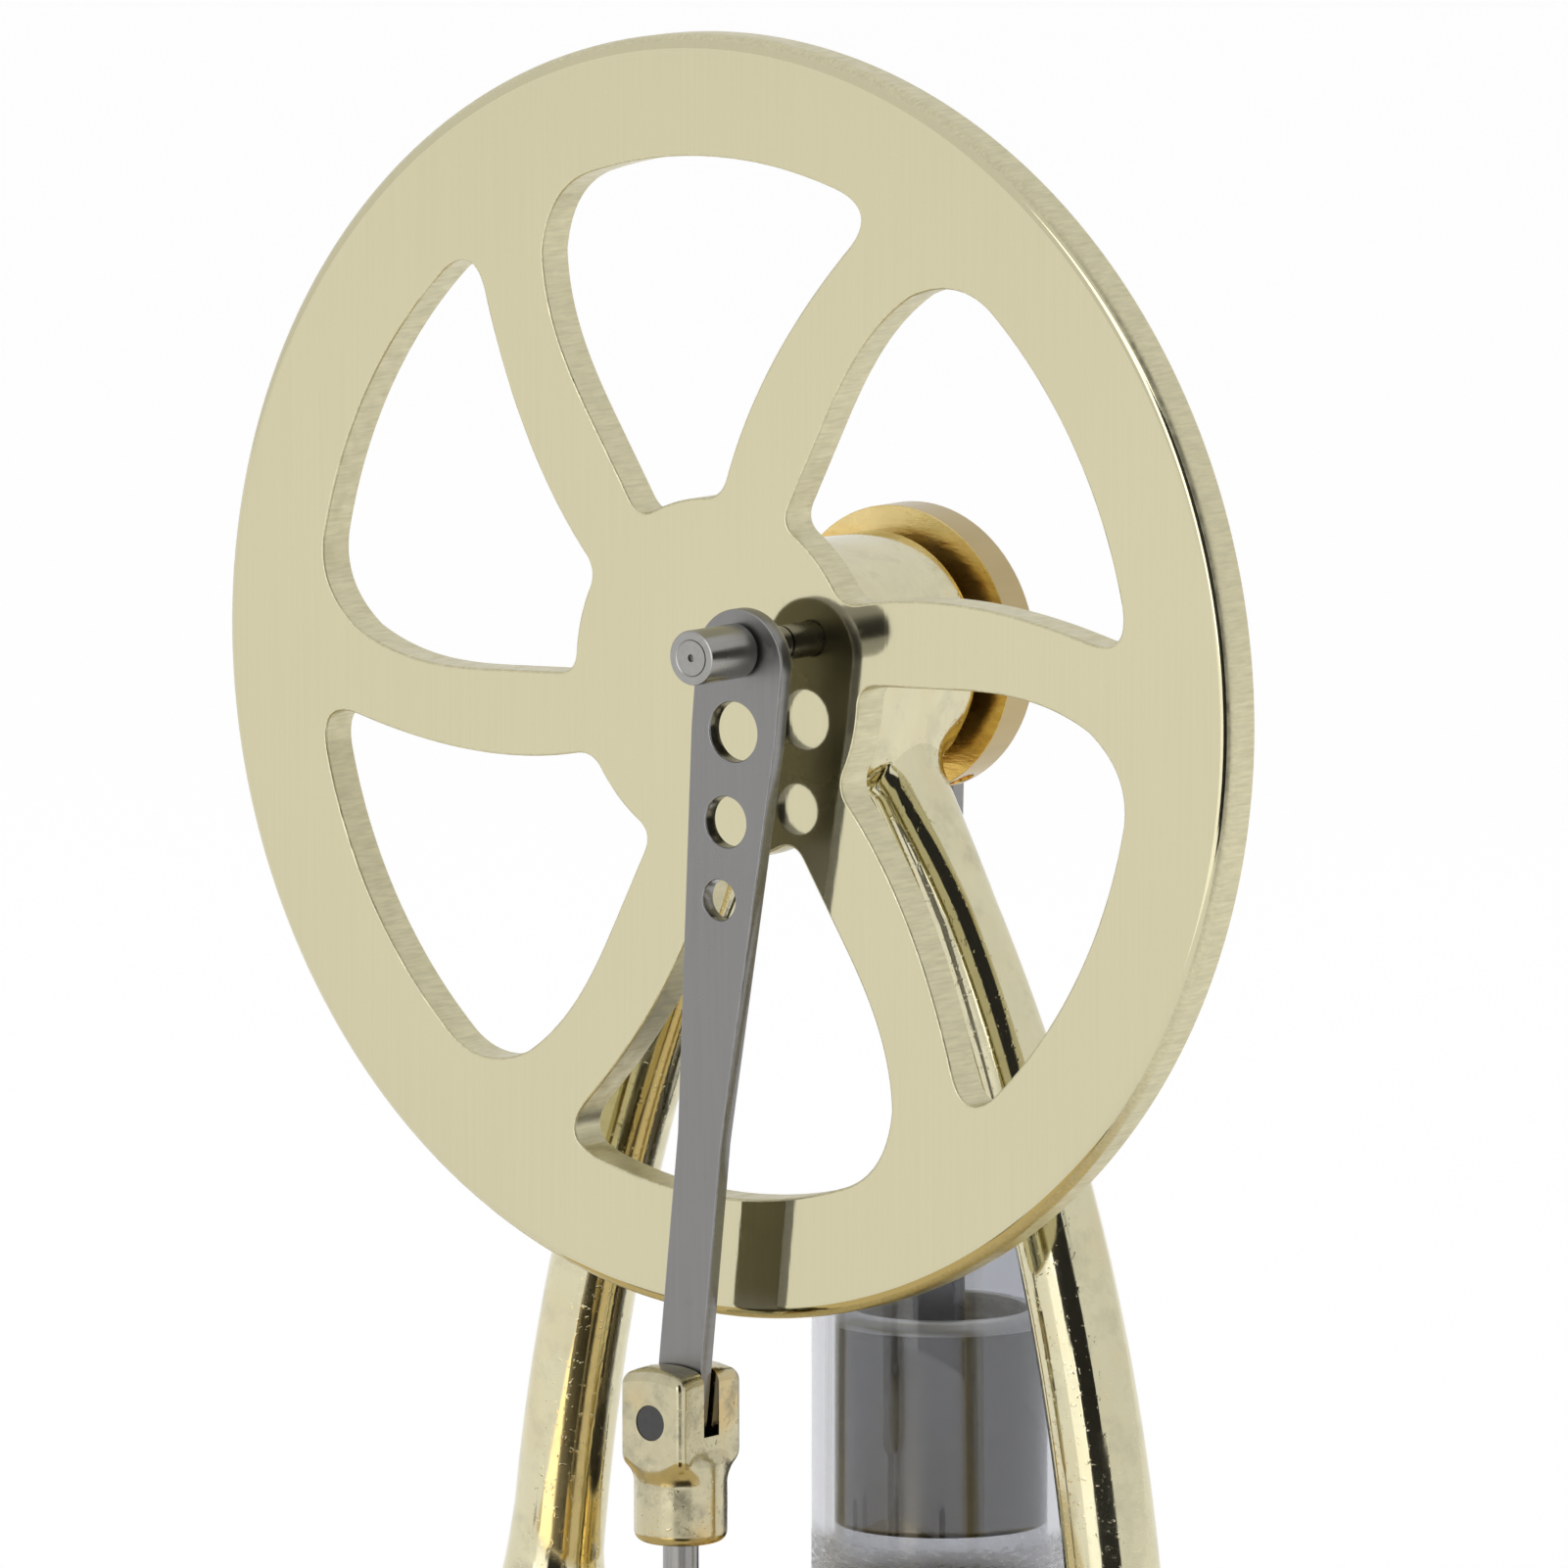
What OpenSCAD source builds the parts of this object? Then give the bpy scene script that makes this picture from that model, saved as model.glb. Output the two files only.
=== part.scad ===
// Low temperature difference Stirling engine: flywheel, arch stand, displacer and power drives.
// +Z up, y = 0 on the displacer rod axis, flywheel in front of the arch, power cylinder behind.

/* [Flywheel] */
// Flywheel diameter
wheel_d = 73; // [71:0.5:75]
// Flywheel plate thickness
wheel_t = 2.3; // [2:0.1:2.6]
// Radius of the rounded outer edge
wheel_edge = 0.8; // [0.4:0.1:0.9]
// Radius of the outer arc of each window
window_out_r = 29.6; // [28.5:0.1:30.5]
// Radius of the hub arc of each window
window_in_r = 10.3; // [10:0.1:11]
// Number of windows and spokes
window_count = 6; // [6]

/* [Crank drive] */
// Crank axis height above the underside
crank_h = 88; // [87:0.5:89]
// Displacer crank throw
disp_throw = 5.3; // [5.2:0.05:5.4]
// Displacer conrod length between pins
disp_rod_len = 44.5; // [44:0.1:45]
// Displacer crank angle at rest, from +X towards +Z
rest_angle = 27.5; // [25:0.5:30]
// Power piston crank throw
power_throw = 4; // [3.9:0.05:4.1]
// Power conrod length between pins
power_rod_len = 46.7; // [46.5:0.1:46.9]
// Angle from the displacer crank on to the power crank
crank_lead = 90; // [88:1:92]
// Crank pin diameter
pin_d = 2; // [1.8:0.1:2.2]
// Crank disc diameter
disc_d = 16.6; // [16:0.1:17]
// Crank disc thickness
disc_t = 2.3; // [2.1:0.1:2.5]

/* [Positions front to back] */
// Flywheel front face
wheel_y = 3.2; // [3.1:0.05:3.4]
// Centre plane of the arch
arch_y = 13.9; // [13.8:0.05:14]
// Axis of the power cylinder and plane of its conrod
cyl_y = 23.8; // [23.7:0.05:24]

/* [Arch stand] */
// Outer diameter of the bearing housing
housing_d = 14; // [13.6:0.1:14.4]
// Length of the bearing housing
housing_l = 7.4; // [7.4:0.1:7.8]
// Diameter of the foot pads
foot_d = 9; // [8.5:0.1:9.5]
// Height of the flared foot
foot_h = 9; // [8:0.5:10]

/* [Bearings] */
// Shaft diameter
shaft_d = 4; // [3.9:0.05:4]
// Bearing outside diameter
bearing_d = 9; // [9]
// Bearing width
bearing_w = 2.5; // [2.5]
// Ball diameter
ball_d = 1.3; // [1.3]
// Number of balls
ball_count = 7; // [6:1:7]

/* [Chamber] */
// Diameter of both chamber plates
plate_d = 93; // [92:0.5:96]
// Thickness of each chamber plate
plate_t = 3; // [3]
// Clear height between the plates
chamber_h = 20; // [20]
// Outside diameter of the clear chamber wall
wall_d = 80; // [79:0.5:80]
// Thickness of the clear chamber wall
wall_t = 3; // [2.8:0.1:3.2]
// Displacer diameter
displacer_d = 72; // [70:0.5:72]
// Displacer thickness
displacer_t = 8.4; // [8:0.1:8.6]
// Displacer rod diameter
rod_d = 2.04; // [2:0.01:2.08]
// Number of chamber screws
screw_count = 6; // [6]

/* [Power cylinder] */
// Outside diameter of the glass cylinder
glass_d = 15; // [14.8:0.1:15.2]
// Diameter of the cylinder bore
bore_d = 12.4; // [12.2:0.1:12.6]
// Height of the top of the glass above the underside
glass_top = 54.5; // [54:0.5:55]
// Piston length
piston_l = 12.6; // [12:0.1:13]
// Distance from the piston pin up to the piston rim
piston_pin_drop = 4.5; // [4.3:0.1:4.7]

/* [Hidden] */

brass = [0.83, 0.80, 0.62];
steel = [0.50, 0.50, 0.51];
dark = [0.30, 0.30, 0.32];
clear = [0.85, 0.90, 0.95, 0.35];
rubber = [0.12, 0.12, 0.12];

fine = 96;
small = 48;
play = 0.03;

// crank pins and small ends at rest, x and z
power_angle = rest_angle + crank_lead;
disp_pin = [disp_throw * cos(rest_angle), crank_h + disp_throw * sin(rest_angle)];
power_pin = [power_throw * cos(power_angle), crank_h + power_throw * sin(power_angle)];
disp_tilt = asin(disp_pin[0] / disp_rod_len);
power_tilt = asin(power_pin[0] / power_rod_len);
clevis_z = disp_pin[1] - disp_rod_len * cos(disp_tilt);
piston_pin_z = power_pin[1] - power_rod_len * cos(power_tilt);

// planes along the crank axis
wheel_back = wheel_y + wheel_t;
housing_y0 = arch_y - housing_l / 2;
housing_y1 = arch_y + housing_l / 2;
bearing_inset = 0.2;
front_b0 = housing_y0 + bearing_inset;
front_b1 = front_b0 + bearing_w;
rear_b1 = housing_y1 - bearing_inset;
rear_b0 = rear_b1 - bearing_w;
rear_spacer_l = 2.2;
disc_y0 = rear_b1 + rear_spacer_l;
disc_y1 = disc_y0 + disc_t;

// chamber levels
top_z0 = plate_t + chamber_h;
top_z = top_z0 + plate_t;
groove = 1;
seal_t = 0.5;
wall_r1 = wall_d / 2;
wall_r0 = wall_r1 - wall_t;
screw_inset = 3.25;
screw_r = plate_d / 2 - screw_inset;
screw_start = 30;

// solid cylinder along +Y between two planes
module bar(r, y0, y1, f = small) {
    translate([0, y0, 0]) rotate([-90, 0, 0]) cylinder(r = r, h = y1 - y0, $fn = f);
}

module tube_y(r_out, r_in, y0, y1) {
    difference() {
        bar(r_out, y0, y1, fine);
        bar(r_in, y0 - 1, y1 + 1, fine);
    }
}

module ring_z(r_out, r_in, z0, z1) {
    translate([0, 0, z0]) difference() {
        cylinder(r = r_out, h = z1 - z0, $fn = fine);
        translate([0, 0, -1]) cylinder(r = r_in, h = z1 - z0 + 2, $fn = fine);
    }
}

module at_axis() {
    translate([0, 0, crank_h]) children();
}

module at_screws() {
    for (i = [0 : screw_count - 1]) rotate([0, 0, screw_start + i * 360 / screw_count])
        translate([screw_r, 0, 0]) children();
}

// ---------------------------------------------------------------- chamber
screw_d = 3;
washer_t = 0.5;
port_d = 5;
gland_d = 6;
foot_x = 21.1;
base_r = 14;
base_screw_x = 11.5;
base_screw_d = 2.5;
blind = 0.5;
screw_play = 0.2;

module bottom_plate() {
    color([0.80, 0.81, 0.83]) difference() {
        cylinder(d = plate_d, h = plate_t, $fn = fine);
        ring_z(wall_r1 + play, wall_r0 - play, plate_t - groove, plate_t + 1);
        at_screws() translate([0, 0, blind]) cylinder(d = screw_d, h = plate_t, $fn = small);
    }
}

module top_plate() {
    color([0.80, 0.81, 0.83]) difference() {
        translate([0, 0, top_z0]) cylinder(d = plate_d, h = plate_t, $fn = fine);
        ring_z(wall_r1 + play, wall_r0 - play, top_z0 - 1, top_z0 + groove);
        at_screws() translate([0, 0, top_z0 - 1])
            cylinder(d = screw_d + screw_play, h = plate_t + 2, $fn = small);
        translate([0, 0, top_z0 - 1]) cylinder(d = gland_d, h = plate_t + 2, $fn = small);
        translate([0, cyl_y, top_z0 - 1]) cylinder(d = port_d, h = plate_t + 2, $fn = small);
        for (s = [-1, 1]) translate([s * foot_x, arch_y, top_z0]) {
            translate([0, 0, -1]) cylinder(d = screw_d, h = plate_t + 2, $fn = small);
            cylinder(r1 = screw_d, r2 = screw_d / 2, h = screw_d / 2, $fn = small);
        }
        for (s = [-1, 1]) translate([s * base_screw_x, cyl_y, top_z0 + blind])
            cylinder(d = base_screw_d, h = plate_t, $fn = small);
    }
}

module chamber_wall() {
    color(clear) ring_z(wall_r1, wall_r0, plate_t - groove + seal_t, top_z0 + groove - seal_t);
}

module lower_seal() {
    color(rubber) ring_z(wall_r1, wall_r0, plate_t - groove, plate_t - groove + seal_t);
}

module upper_seal() {
    color(rubber) ring_z(wall_r1, wall_r0, top_z0 + groove - seal_t, top_z0 + groove);
}

head_d = 5.5;
head_h = 2;
hex_af = 2;
washer_over = 0.4;

module plate_screws() {
    color(steel) at_screws() difference() {
        union() {
            translate([0, 0, blind]) cylinder(d = screw_d, h = top_z + washer_t, $fn = small);
            translate([0, 0, top_z + washer_t]) cylinder(d = head_d, h = head_h, $fn = small);
        }
        translate([0, 0, top_z + washer_t + head_h / 2])
            cylinder(d = hex_af / cos(30), h = head_h, $fn = 6);
    }
}

module plate_washers() {
    color(steel) at_screws() 
        ring_z(head_d / 2 + washer_over, (screw_d + screw_play) / 2, top_z, top_z + washer_t);
}

gland_top = 30.5;
gland_flange_d = 9;
gland_flange_t = 1.2;

module displacer_gland() {
    color(brass) difference() {
        union() {
            translate([0, 0, top_z0 + blind]) cylinder(d = gland_d, h = plate_t, $fn = fine);
            translate([0, 0, top_z]) cylinder(d = gland_flange_d, h = gland_flange_t, $fn = fine);
            translate([0, 0, top_z]) cylinder(d = gland_d - 0.5, h = gland_top - top_z, $fn = fine);
        }
        translate([0, 0, top_z0]) cylinder(d = rod_d + 2 * play, h = gland_top, $fn = fine);
    }
}

// ---------------------------------------------------------------- arch stand
leg_span = 58;
leg_top = 4;
leg_sides = 24;
leg_rings = 30;

// leg centre line and radius at a depth t below the crank axis
function leg_x(t) = 0.92 + 40.54 * (t / leg_span) - 25.06 * pow(t / leg_span, 2)
    + 4.58 * pow(t / leg_span, 3);
function leg_r(t) = 1.706 + 2.265 * (t / leg_span) - 1.271 * pow(t / leg_span, 2);
function leg_slope(t) = (leg_x(t + 0.1) - leg_x(t - 0.1)) / 0.2;

module leg() {
    depth = crank_h - top_z - 1;
    step = (depth - leg_top) / leg_rings;
    pts = [for (i = [0 : leg_rings]) let (t = leg_top + i * step, m = atan(leg_slope(t)))
        for (k = [0 : leg_sides - 1]) let (a = k * 360 / leg_sides, r = leg_r(t))
            [leg_x(t) + r * cos(a) * cos(m), r * sin(a), -t + r * cos(a) * sin(m)]];
    n = leg_sides;
    sides = [for (i = [0 : leg_rings - 1], k = [0 : n - 1])
        [i * n + k, i * n + (k + 1) % n, (i + 1) * n + (k + 1) % n, (i + 1) * n + k]];
    top = [for (k = [0 : n - 1]) n - 1 - k];
    low = [for (k = [0 : n - 1]) leg_rings * n + k];
    polyhedron(points = pts, faces = concat([top], sides, [low]), convexity = 6);
}

foot_pad = 2;
foot_neck = 5.6;
foot_thread = 5;
bearing_stop = 0.9;

module foot() {
    cylinder(d = foot_d, h = foot_pad, $fn = small);
    translate([0, 0, foot_pad])
        cylinder(d1 = foot_d, d2 = foot_neck, h = foot_h - foot_pad, $fn = small);
}

module arch_stand() {
    color(brass) difference() {
        union() {
            at_axis() bar(housing_d / 2, housing_y0, housing_y1, fine);
            at_axis() translate([0, arch_y, 0]) leg();
            at_axis() translate([0, arch_y, 0]) mirror([1, 0, 0]) leg();
            for (s = [-1, 1]) translate([s * foot_x, arch_y, top_z]) foot();
        }
        at_axis() bar(bearing_d / 2, housing_y0 - 1, front_b1, fine);
        at_axis() bar(bearing_d / 2, rear_b0, housing_y1 + 1, fine);
        at_axis() bar(bearing_d / 2 - bearing_stop, housing_y0, housing_y1, fine);
        for (s = [-1, 1]) translate([s * foot_x, arch_y, top_z - 1])
            cylinder(d = screw_d, h = foot_thread + 2, $fn = small);
    }
}

module arch_screws() {
    color(steel) for (s = [-1, 1]) translate([s * foot_x, arch_y, top_z0]) difference() {
        union() {
            cylinder(d = screw_d, h = plate_t + foot_thread, $fn = small);
            cylinder(r1 = screw_d, r2 = screw_d / 2, h = screw_d / 2, $fn = small);
        }
        translate([0, 0, -1]) cylinder(d = hex_af / cos(30), h = 2, $fn = 6);
    }
}

// ---------------------------------------------------------------- bearings
pitch_r = 3.25;
race_in_r = 2.75;
race_out_r = 3.75;
groove_r = ball_d / 2 + 0.02;
cage_t = 0.3;
cage_w = 0.8;

module ball_path(y) {
    translate([0, y, 0]) rotate([-90, 0, 0])
        rotate_extrude($fn = fine) translate([pitch_r, 0]) circle(r = groove_r, $fn = small);
}

module outer_race(y0) {
    color(steel) at_axis() difference() {
        tube_y(bearing_d / 2, race_out_r, y0, y0 + bearing_w);
        ball_path(y0 + bearing_w / 2);
    }
}

module inner_race(y0) {
    color(steel) at_axis() difference() {
        tube_y(race_in_r, shaft_d / 2, y0, y0 + bearing_w);
        ball_path(y0 + bearing_w / 2);
    }
}

module ball_set(y) {
    color(steel) at_axis() union() {
        tube_y(pitch_r + cage_t, pitch_r - cage_t, y - cage_w / 2, y + cage_w / 2);
        for (i = [0 : ball_count - 1]) rotate([0, i * 360 / ball_count, 0])
            translate([pitch_r, y, 0]) sphere(d = ball_d, $fn = small);
    }
}

module front_bearing_outer() { outer_race(front_b0); }
module rear_bearing_outer() { outer_race(rear_b0); }
module front_bearing_inner() { inner_race(front_b0); }
module rear_bearing_inner() { inner_race(rear_b0); }
module front_ball_set() { ball_set(front_b0 + bearing_w / 2); }
module rear_ball_set() { ball_set(rear_b0 + bearing_w / 2); }

// ---------------------------------------------------------------- crankshaft group
nose_r = disp_throw / 2;
flange_r = 4;
flange_t = 0.8;
key_front_r = 0.6;
key_rear_r = 0.5;
key_play = 0.02;
recess = 0.1;
// skin left at the front of the hub, and the blind ends of the two keyways
hub_skin = 0.6;
key_end_front = 0.2;
key_end_rear = 0.4;
key_slack = 0.05;

module at_key(throw, angle) {
    at_axis() translate([throw / 2 * cos(angle), 0, throw / 2 * sin(angle)]) children();
}

module key_holes() {
    at_key(disp_throw, rest_angle) 
        bar(key_front_r + key_play, wheel_y + hub_skin, wheel_back - key_end_front);
    at_key(power_throw, power_angle) 
        bar(key_rear_r + key_play, disc_y0 + key_end_rear, disc_y1 + 1);
}

module crankshaft() {
    color(steel) difference() {
        at_axis() union() {
            bar(nose_r, wheel_y + hub_skin + recess, wheel_back, fine);
            bar(flange_r, wheel_back, wheel_back + flange_t, fine);
            bar(shaft_d / 2, wheel_back, disc_y1 - recess, fine);
        }
        key_holes();
    }
}

// window outline in the wheel plane: angles of both sides as curves over the radius
function mix3(a, b, c, t) = a * (1 - t) * (1 - 2 * t) + 4 * b * t * (1 - t) + c * t * (2 * t - 1);
function side_lo(r) = let (t = (window_out_r - r) / (window_out_r - window_in_r))
    mix3(6.8, 16.2, 28, t);
function side_hi(r) = let (t = (window_out_r - r) / (window_out_r - window_in_r))
    54.5 + 8.3 * (1 - pow(1 - min(1, t * 1.5), 2.4));
function polar(r, a) = [r * cos(a), r * sin(a)];
function bend(a, b, c, n = 6) = [for (i = [0 : n]) let (t = i / n)
    a * (1 - t) * (1 - t) + b * 2 * t * (1 - t) + c * t * t];

corner_out = 3;
corner_in = 1.3;

function window_points() = let (
        ro = window_out_r, ri = window_in_r,
        wo = corner_out / ro * 180 / PI, wi = corner_in / ri * 180 / PI,
        lo_o = side_lo(ro), hi_o = side_hi(ro), lo_i = side_lo(ri), hi_i = side_hi(ri))
    concat(
        bend(polar(ro - corner_out, side_lo(ro - corner_out)), polar(ro, lo_o), polar(ro, lo_o + wo)),
        [for (i = [1 : 11]) polar(ro, lo_o + wo + (hi_o - lo_o - 2 * wo) * i / 12)],
        bend(polar(ro, hi_o - wo), polar(ro, hi_o), polar(ro - corner_out, side_hi(ro - corner_out))),
        [for (i = [1 : 11]) let (r = ro - corner_out + (ri + corner_in - ro + corner_out) * i / 12)
            polar(r, side_hi(r))],
        bend(polar(ri + corner_in, side_hi(ri + corner_in)), polar(ri, hi_i), polar(ri, hi_i - wi)),
        [for (i = [1 : 5]) polar(ri, hi_i - wi + (lo_i - hi_i + 2 * wi) * i / 6)],
        bend(polar(ri, lo_i + wi), polar(ri, lo_i), polar(ri + corner_in, side_lo(ri + corner_in))),
        [for (i = [1 : 11]) let (r = ri + corner_in + (ro - corner_out - ri - corner_in) * i / 12)
            polar(r, side_lo(r))]);

module window_cut() {
    rotate([90, 0, 0]) linear_extrude(height = 20, center = true) polygon(window_points());
}

function rim_profile() = let (r = wheel_d / 2, e = wheel_edge, b = 0.3) concat(
    [[0, 0]],
    [for (i = [0 : 6]) let (a = i * 15) [r - e + e * sin(a), e - e * cos(a)]],
    [[r, wheel_t - b], [r - b, wheel_t], [0, wheel_t]]);

module flywheel() {
    color(brass) difference() {
        at_axis() difference() {
            translate([0, wheel_y, 0]) rotate([-90, 0, 0])
                rotate_extrude($fn = 180) polygon(rim_profile());
            for (i = [0 : window_count - 1]) rotate([0, -i * 360 / window_count, 0]) window_cut();
            bar(nose_r, wheel_y + hub_skin, wheel_back + 1, fine);
        }
        key_holes();
    }
}

front_spacer_r = 3;
middle_spacer_r = 2.6;
rear_spacer_r = 2.7;

module front_spacer() {
    color(brass) at_axis() tube_y(front_spacer_r, shaft_d / 2, wheel_back + flange_t, front_b0);
}

module middle_spacer() {
    color(brass) at_axis() tube_y(middle_spacer_r, shaft_d / 2, front_b1, rear_b0);
}

module rear_spacer() {
    color(brass) at_axis() tube_y(rear_spacer_r, shaft_d / 2, rear_b1, disc_y0);
}

grub_r = 0.75;
grub_l = 3;
grub_hex = 0.8;
grub_gap = 0.08;

module disc_screw_at() {
    at_axis() translate([0, (disc_y0 + disc_y1) / 2, 0]) rotate([0, -(power_angle + 180), 0])
        rotate([0, 90, 0]) children();
}

module crank_disc() {
    color(brass) difference() {
        at_axis() difference() {
            bar(disc_d / 2, disc_y0, disc_y1, fine);
            bar(shaft_d / 2, disc_y0 - 1, disc_y1 + 1, fine);
        }
        key_holes();
        disc_screw_at() translate([0, 0, shaft_d / 4]) cylinder(r = grub_r, h = disc_d, $fn = small);
    }
}

module disc_screw() {
    color(dark) disc_screw_at() translate([0, 0, shaft_d / 2 + grub_gap]) difference() {
        cylinder(r = grub_r, h = grub_l, $fn = small);
        translate([0, 0, grub_l - 1]) cylinder(d = grub_hex, h = 2, $fn = 6);
    }
}

module front_key() {
    color(steel) at_key(disp_throw, rest_angle)
        bar(key_front_r, wheel_y + hub_skin + key_slack, wheel_back - key_end_front - key_slack);
}

module rear_key() {
    color(steel) at_key(power_throw, power_angle)
        bar(key_rear_r, disc_y0 + key_end_rear + key_slack, disc_y1 - recess);
}

// ---------------------------------------------------------------- conrods
eye_r = 3.1;
eye_drop = 0.8;
rod_w = 3.2;
waist = 28.2;
shoulder = 4.9;
disp_plate_t = 0.9;
power_plate_t = 1;
// lightening holes: drop below the crank pin and radius
hole_drop = [4.7, 9.9, 14.4];
hole_r = [1.7, 1.45, 1.15];

// flat conrod standing on its small end pin
module conrod(len, t, small_r) {
    difference() {
        union() {
            translate([0, 0, len - eye_drop]) bar(eye_r, -t / 2, t / 2, fine);
            bar(rod_w / 2, -t / 2, t / 2, fine);
            rotate([90, 0, 0]) linear_extrude(height = t, center = true)
                polygon([[-rod_w / 2, 0], [rod_w / 2, 0], [rod_w / 2, len - waist],
                    [eye_r - 0.05, len - shoulder], [eye_r, len - eye_drop],
                    [-eye_r, len - eye_drop], [0.05 - eye_r, len - shoulder],
                    [-rod_w / 2, len - waist]]);
        }
        bar(small_r, -1, 1);
        translate([0, 0, len]) bar(pin_d / 2, -1, 1);
        for (i = [0 : 2]) translate([0, 0, len - hole_drop[i]]) bar(hole_r[i], -1, 1);
    }
}

clevis_pin_r = 1;
piston_pin_r = 0.9;

module displacer_conrod() {
    color(steel) translate([0, 0, clevis_z]) rotate([0, disp_tilt, 0])
        conrod(disp_rod_len, disp_plate_t, clevis_pin_r + play);
}

module power_conrod() {
    color(steel) translate([0, cyl_y, piston_pin_z]) rotate([0, power_tilt, 0])
        conrod(power_rod_len, power_plate_t, piston_pin_r + play);
}

seat_gap = 0.08;
disp_collar_y = -4.8;
collar_r = 1.55;
centre_r = 0.22;
collar_gap = 0.3;

module displacer_crank_pin() {
    color(steel) translate([disp_pin[0], 0, disp_pin[1]]) difference() {
        bar(pin_d / 2, disp_collar_y, wheel_y - seat_gap, fine);
        bar(centre_r, disp_collar_y - 1, disp_collar_y + centre_r);
    }
}

module displacer_pin_collar() {
    color(steel) translate([disp_pin[0], 0, disp_pin[1]])
        tube_y(collar_r, pin_d / 2, disp_collar_y, -disp_plate_t / 2 - collar_gap);
}

power_collar_y = cyl_y + 3.6;

module power_crank_pin() {
    color(steel) translate([power_pin[0], 0, power_pin[1]])
        bar(pin_d / 2, disc_y1 + seat_gap, power_collar_y, fine);
}

module power_pin_collar() {
    color(steel) translate([power_pin[0], 0, power_pin[1]])
        tube_y(collar_r, pin_d / 2, cyl_y + power_plate_t / 2 + collar_gap, power_collar_y);
}

// ---------------------------------------------------------------- displacer group
clevis_w = 4.5;
clevis_dep = 5.5;
barrel_r = 2.7;
slot_w = 1.35;
block_top = clevis_z + 3.1;
block_low = clevis_z - 2;
barrel_low = clevis_z - 7.1;
slot_r = 2.7;
edge = 0.45;
// transition cone between the barrel and the block, and the rod's socket depth
cone_h = 1.1;
rod_grip = 4.4;
wide = 4;
dome = 0.9;
pin_sink = 0.05;

function cut_corners(x, y, c) = [[x - c, -y], [x, c - y], [x, y - c], [x - c, y],
    [c - x, y], [-x, y - c], [-x, c - y], [c - x, -y]];

module clevis_form() {
    top = block_top - barrel_low;
    low = block_low - barrel_low;
    translate([0, 0, barrel_low]) union() {
        intersection() {
            translate([0, 0, low - cone_h]) linear_extrude(height = top - low + cone_h)
                polygon(cut_corners(clevis_w / 2, clevis_dep / 2, edge));
            rotate_extrude($fn = fine) polygon([[0, 0], [barrel_r, low - cone_h], [wide, low + 0.3],
                [wide, top - dome], [wide - 1, top], [0, top]]);
        }
        rotate_extrude($fn = fine) polygon([[0, 0], [barrel_r - edge, 0], [barrel_r, edge],
            [barrel_r, low], [0, low]]);
    }
}

module clevis() {
    slot_z = clevis_z + 0.6;
    color(brass) difference() {
        clevis_form();
        translate([0, 0, slot_z]) bar(slot_r, -slot_w / 2, slot_w / 2, fine);
        translate([-wide, -slot_w / 2, slot_z]) cube([2 * wide, slot_w, 2 * wide]);
        translate([0, 0, clevis_z]) bar(clevis_pin_r, -5, 5);
        translate([0, 0, barrel_low - 1]) cylinder(d = rod_d, h = rod_grip + 1, $fn = small);
    }
}

module clevis_pin() {
    color(dark) translate([0, 0, clevis_z])
        bar(clevis_pin_r, pin_sink - clevis_dep / 2, clevis_dep / 2 - pin_sink, fine);
}

displacer_mid = plate_t + chamber_h / 2 + disp_throw * sin(rest_angle);
displacer_z0 = displacer_mid - displacer_t / 2;
displacer_z1 = displacer_mid + displacer_t / 2;
pocket = 2.4;
pocket_r = 5;
disp_washer_r = 4.5;

module displacer_rod() {
    z0 = displacer_z0 + 0.2;
    color(steel) translate([0, 0, z0]) 
        cylinder(d = rod_d, h = barrel_low + rod_grip - recess - z0, $fn = small);
}

module displacer() {
    color([0.93, 0.93, 0.90]) difference() {
        translate([0, 0, displacer_z0]) cylinder(d = displacer_d, h = displacer_t, $fn = fine);
        translate([0, 0, displacer_z0 - 1]) cylinder(d = rod_d, h = displacer_t + 2, $fn = small);
        translate([0, 0, displacer_z0 - 1]) cylinder(r = pocket_r, h = pocket + 1, $fn = small);
        translate([0, 0, displacer_z1 - pocket]) cylinder(r = pocket_r, h = pocket + 1, $fn = small);
    }
}

module displacer_washers() {
    color(steel) for (z = [displacer_z0 + pocket - washer_t, displacer_z1 - pocket])
        ring_z(disp_washer_r, rod_d / 2, z, z + washer_t);
}

nut_t = 1.6;
nut_af = 4;

module displacer_nuts() {
    color(brass) for (z = [displacer_z0 + pocket - washer_t - nut_t, displacer_z1 - pocket + washer_t])
        translate([0, 0, z]) difference() {
            cylinder(d = nut_af / cos(30), h = nut_t, $fn = 6);
            translate([0, 0, -1]) cylinder(d = rod_d, h = nut_t + 2, $fn = small);
        }
}

// ---------------------------------------------------------------- power cylinder group
base_z1 = 33;
base_t = 2.5;
base_wall = 1.4;
base_head_d = 4.4;
base_head_h = 1.6;
base_hex = 1.6;
tall = 9;
glass_z0 = 28;
floor_t = 2.4;
cup_r = 5;
cup_depth = 8;
piston_play = 0.05;
piston_r = bore_d / 2 - piston_play;
skirt_edge = 0.3;
stud_d = 2;
piston_top = piston_pin_z + piston_pin_drop;
piston_low = piston_top - piston_l;
rim = 0.7;

module at_cyl() {
    translate([0, cyl_y, 0]) children();
}

module cylinder_base() {
    color(brass) at_cyl() difference() {
        union() {
            translate([0, 0, top_z]) cylinder(r = base_r, h = base_t, $fn = fine);
            translate([0, 0, top_z]) 
                cylinder(r = glass_d / 2 + base_wall, h = base_z1 - top_z, $fn = fine);
        }
        translate([0, 0, top_z - 1]) cylinder(d = port_d, h = tall, $fn = small);
        translate([0, 0, glass_z0 - seal_t]) cylinder(d = glass_d, h = tall, $fn = fine);
        for (s = [-1, 1]) translate([s * base_screw_x, 0, top_z - 1])
            cylinder(d = base_screw_d + screw_play, h = tall, $fn = small);
    }
}

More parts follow.
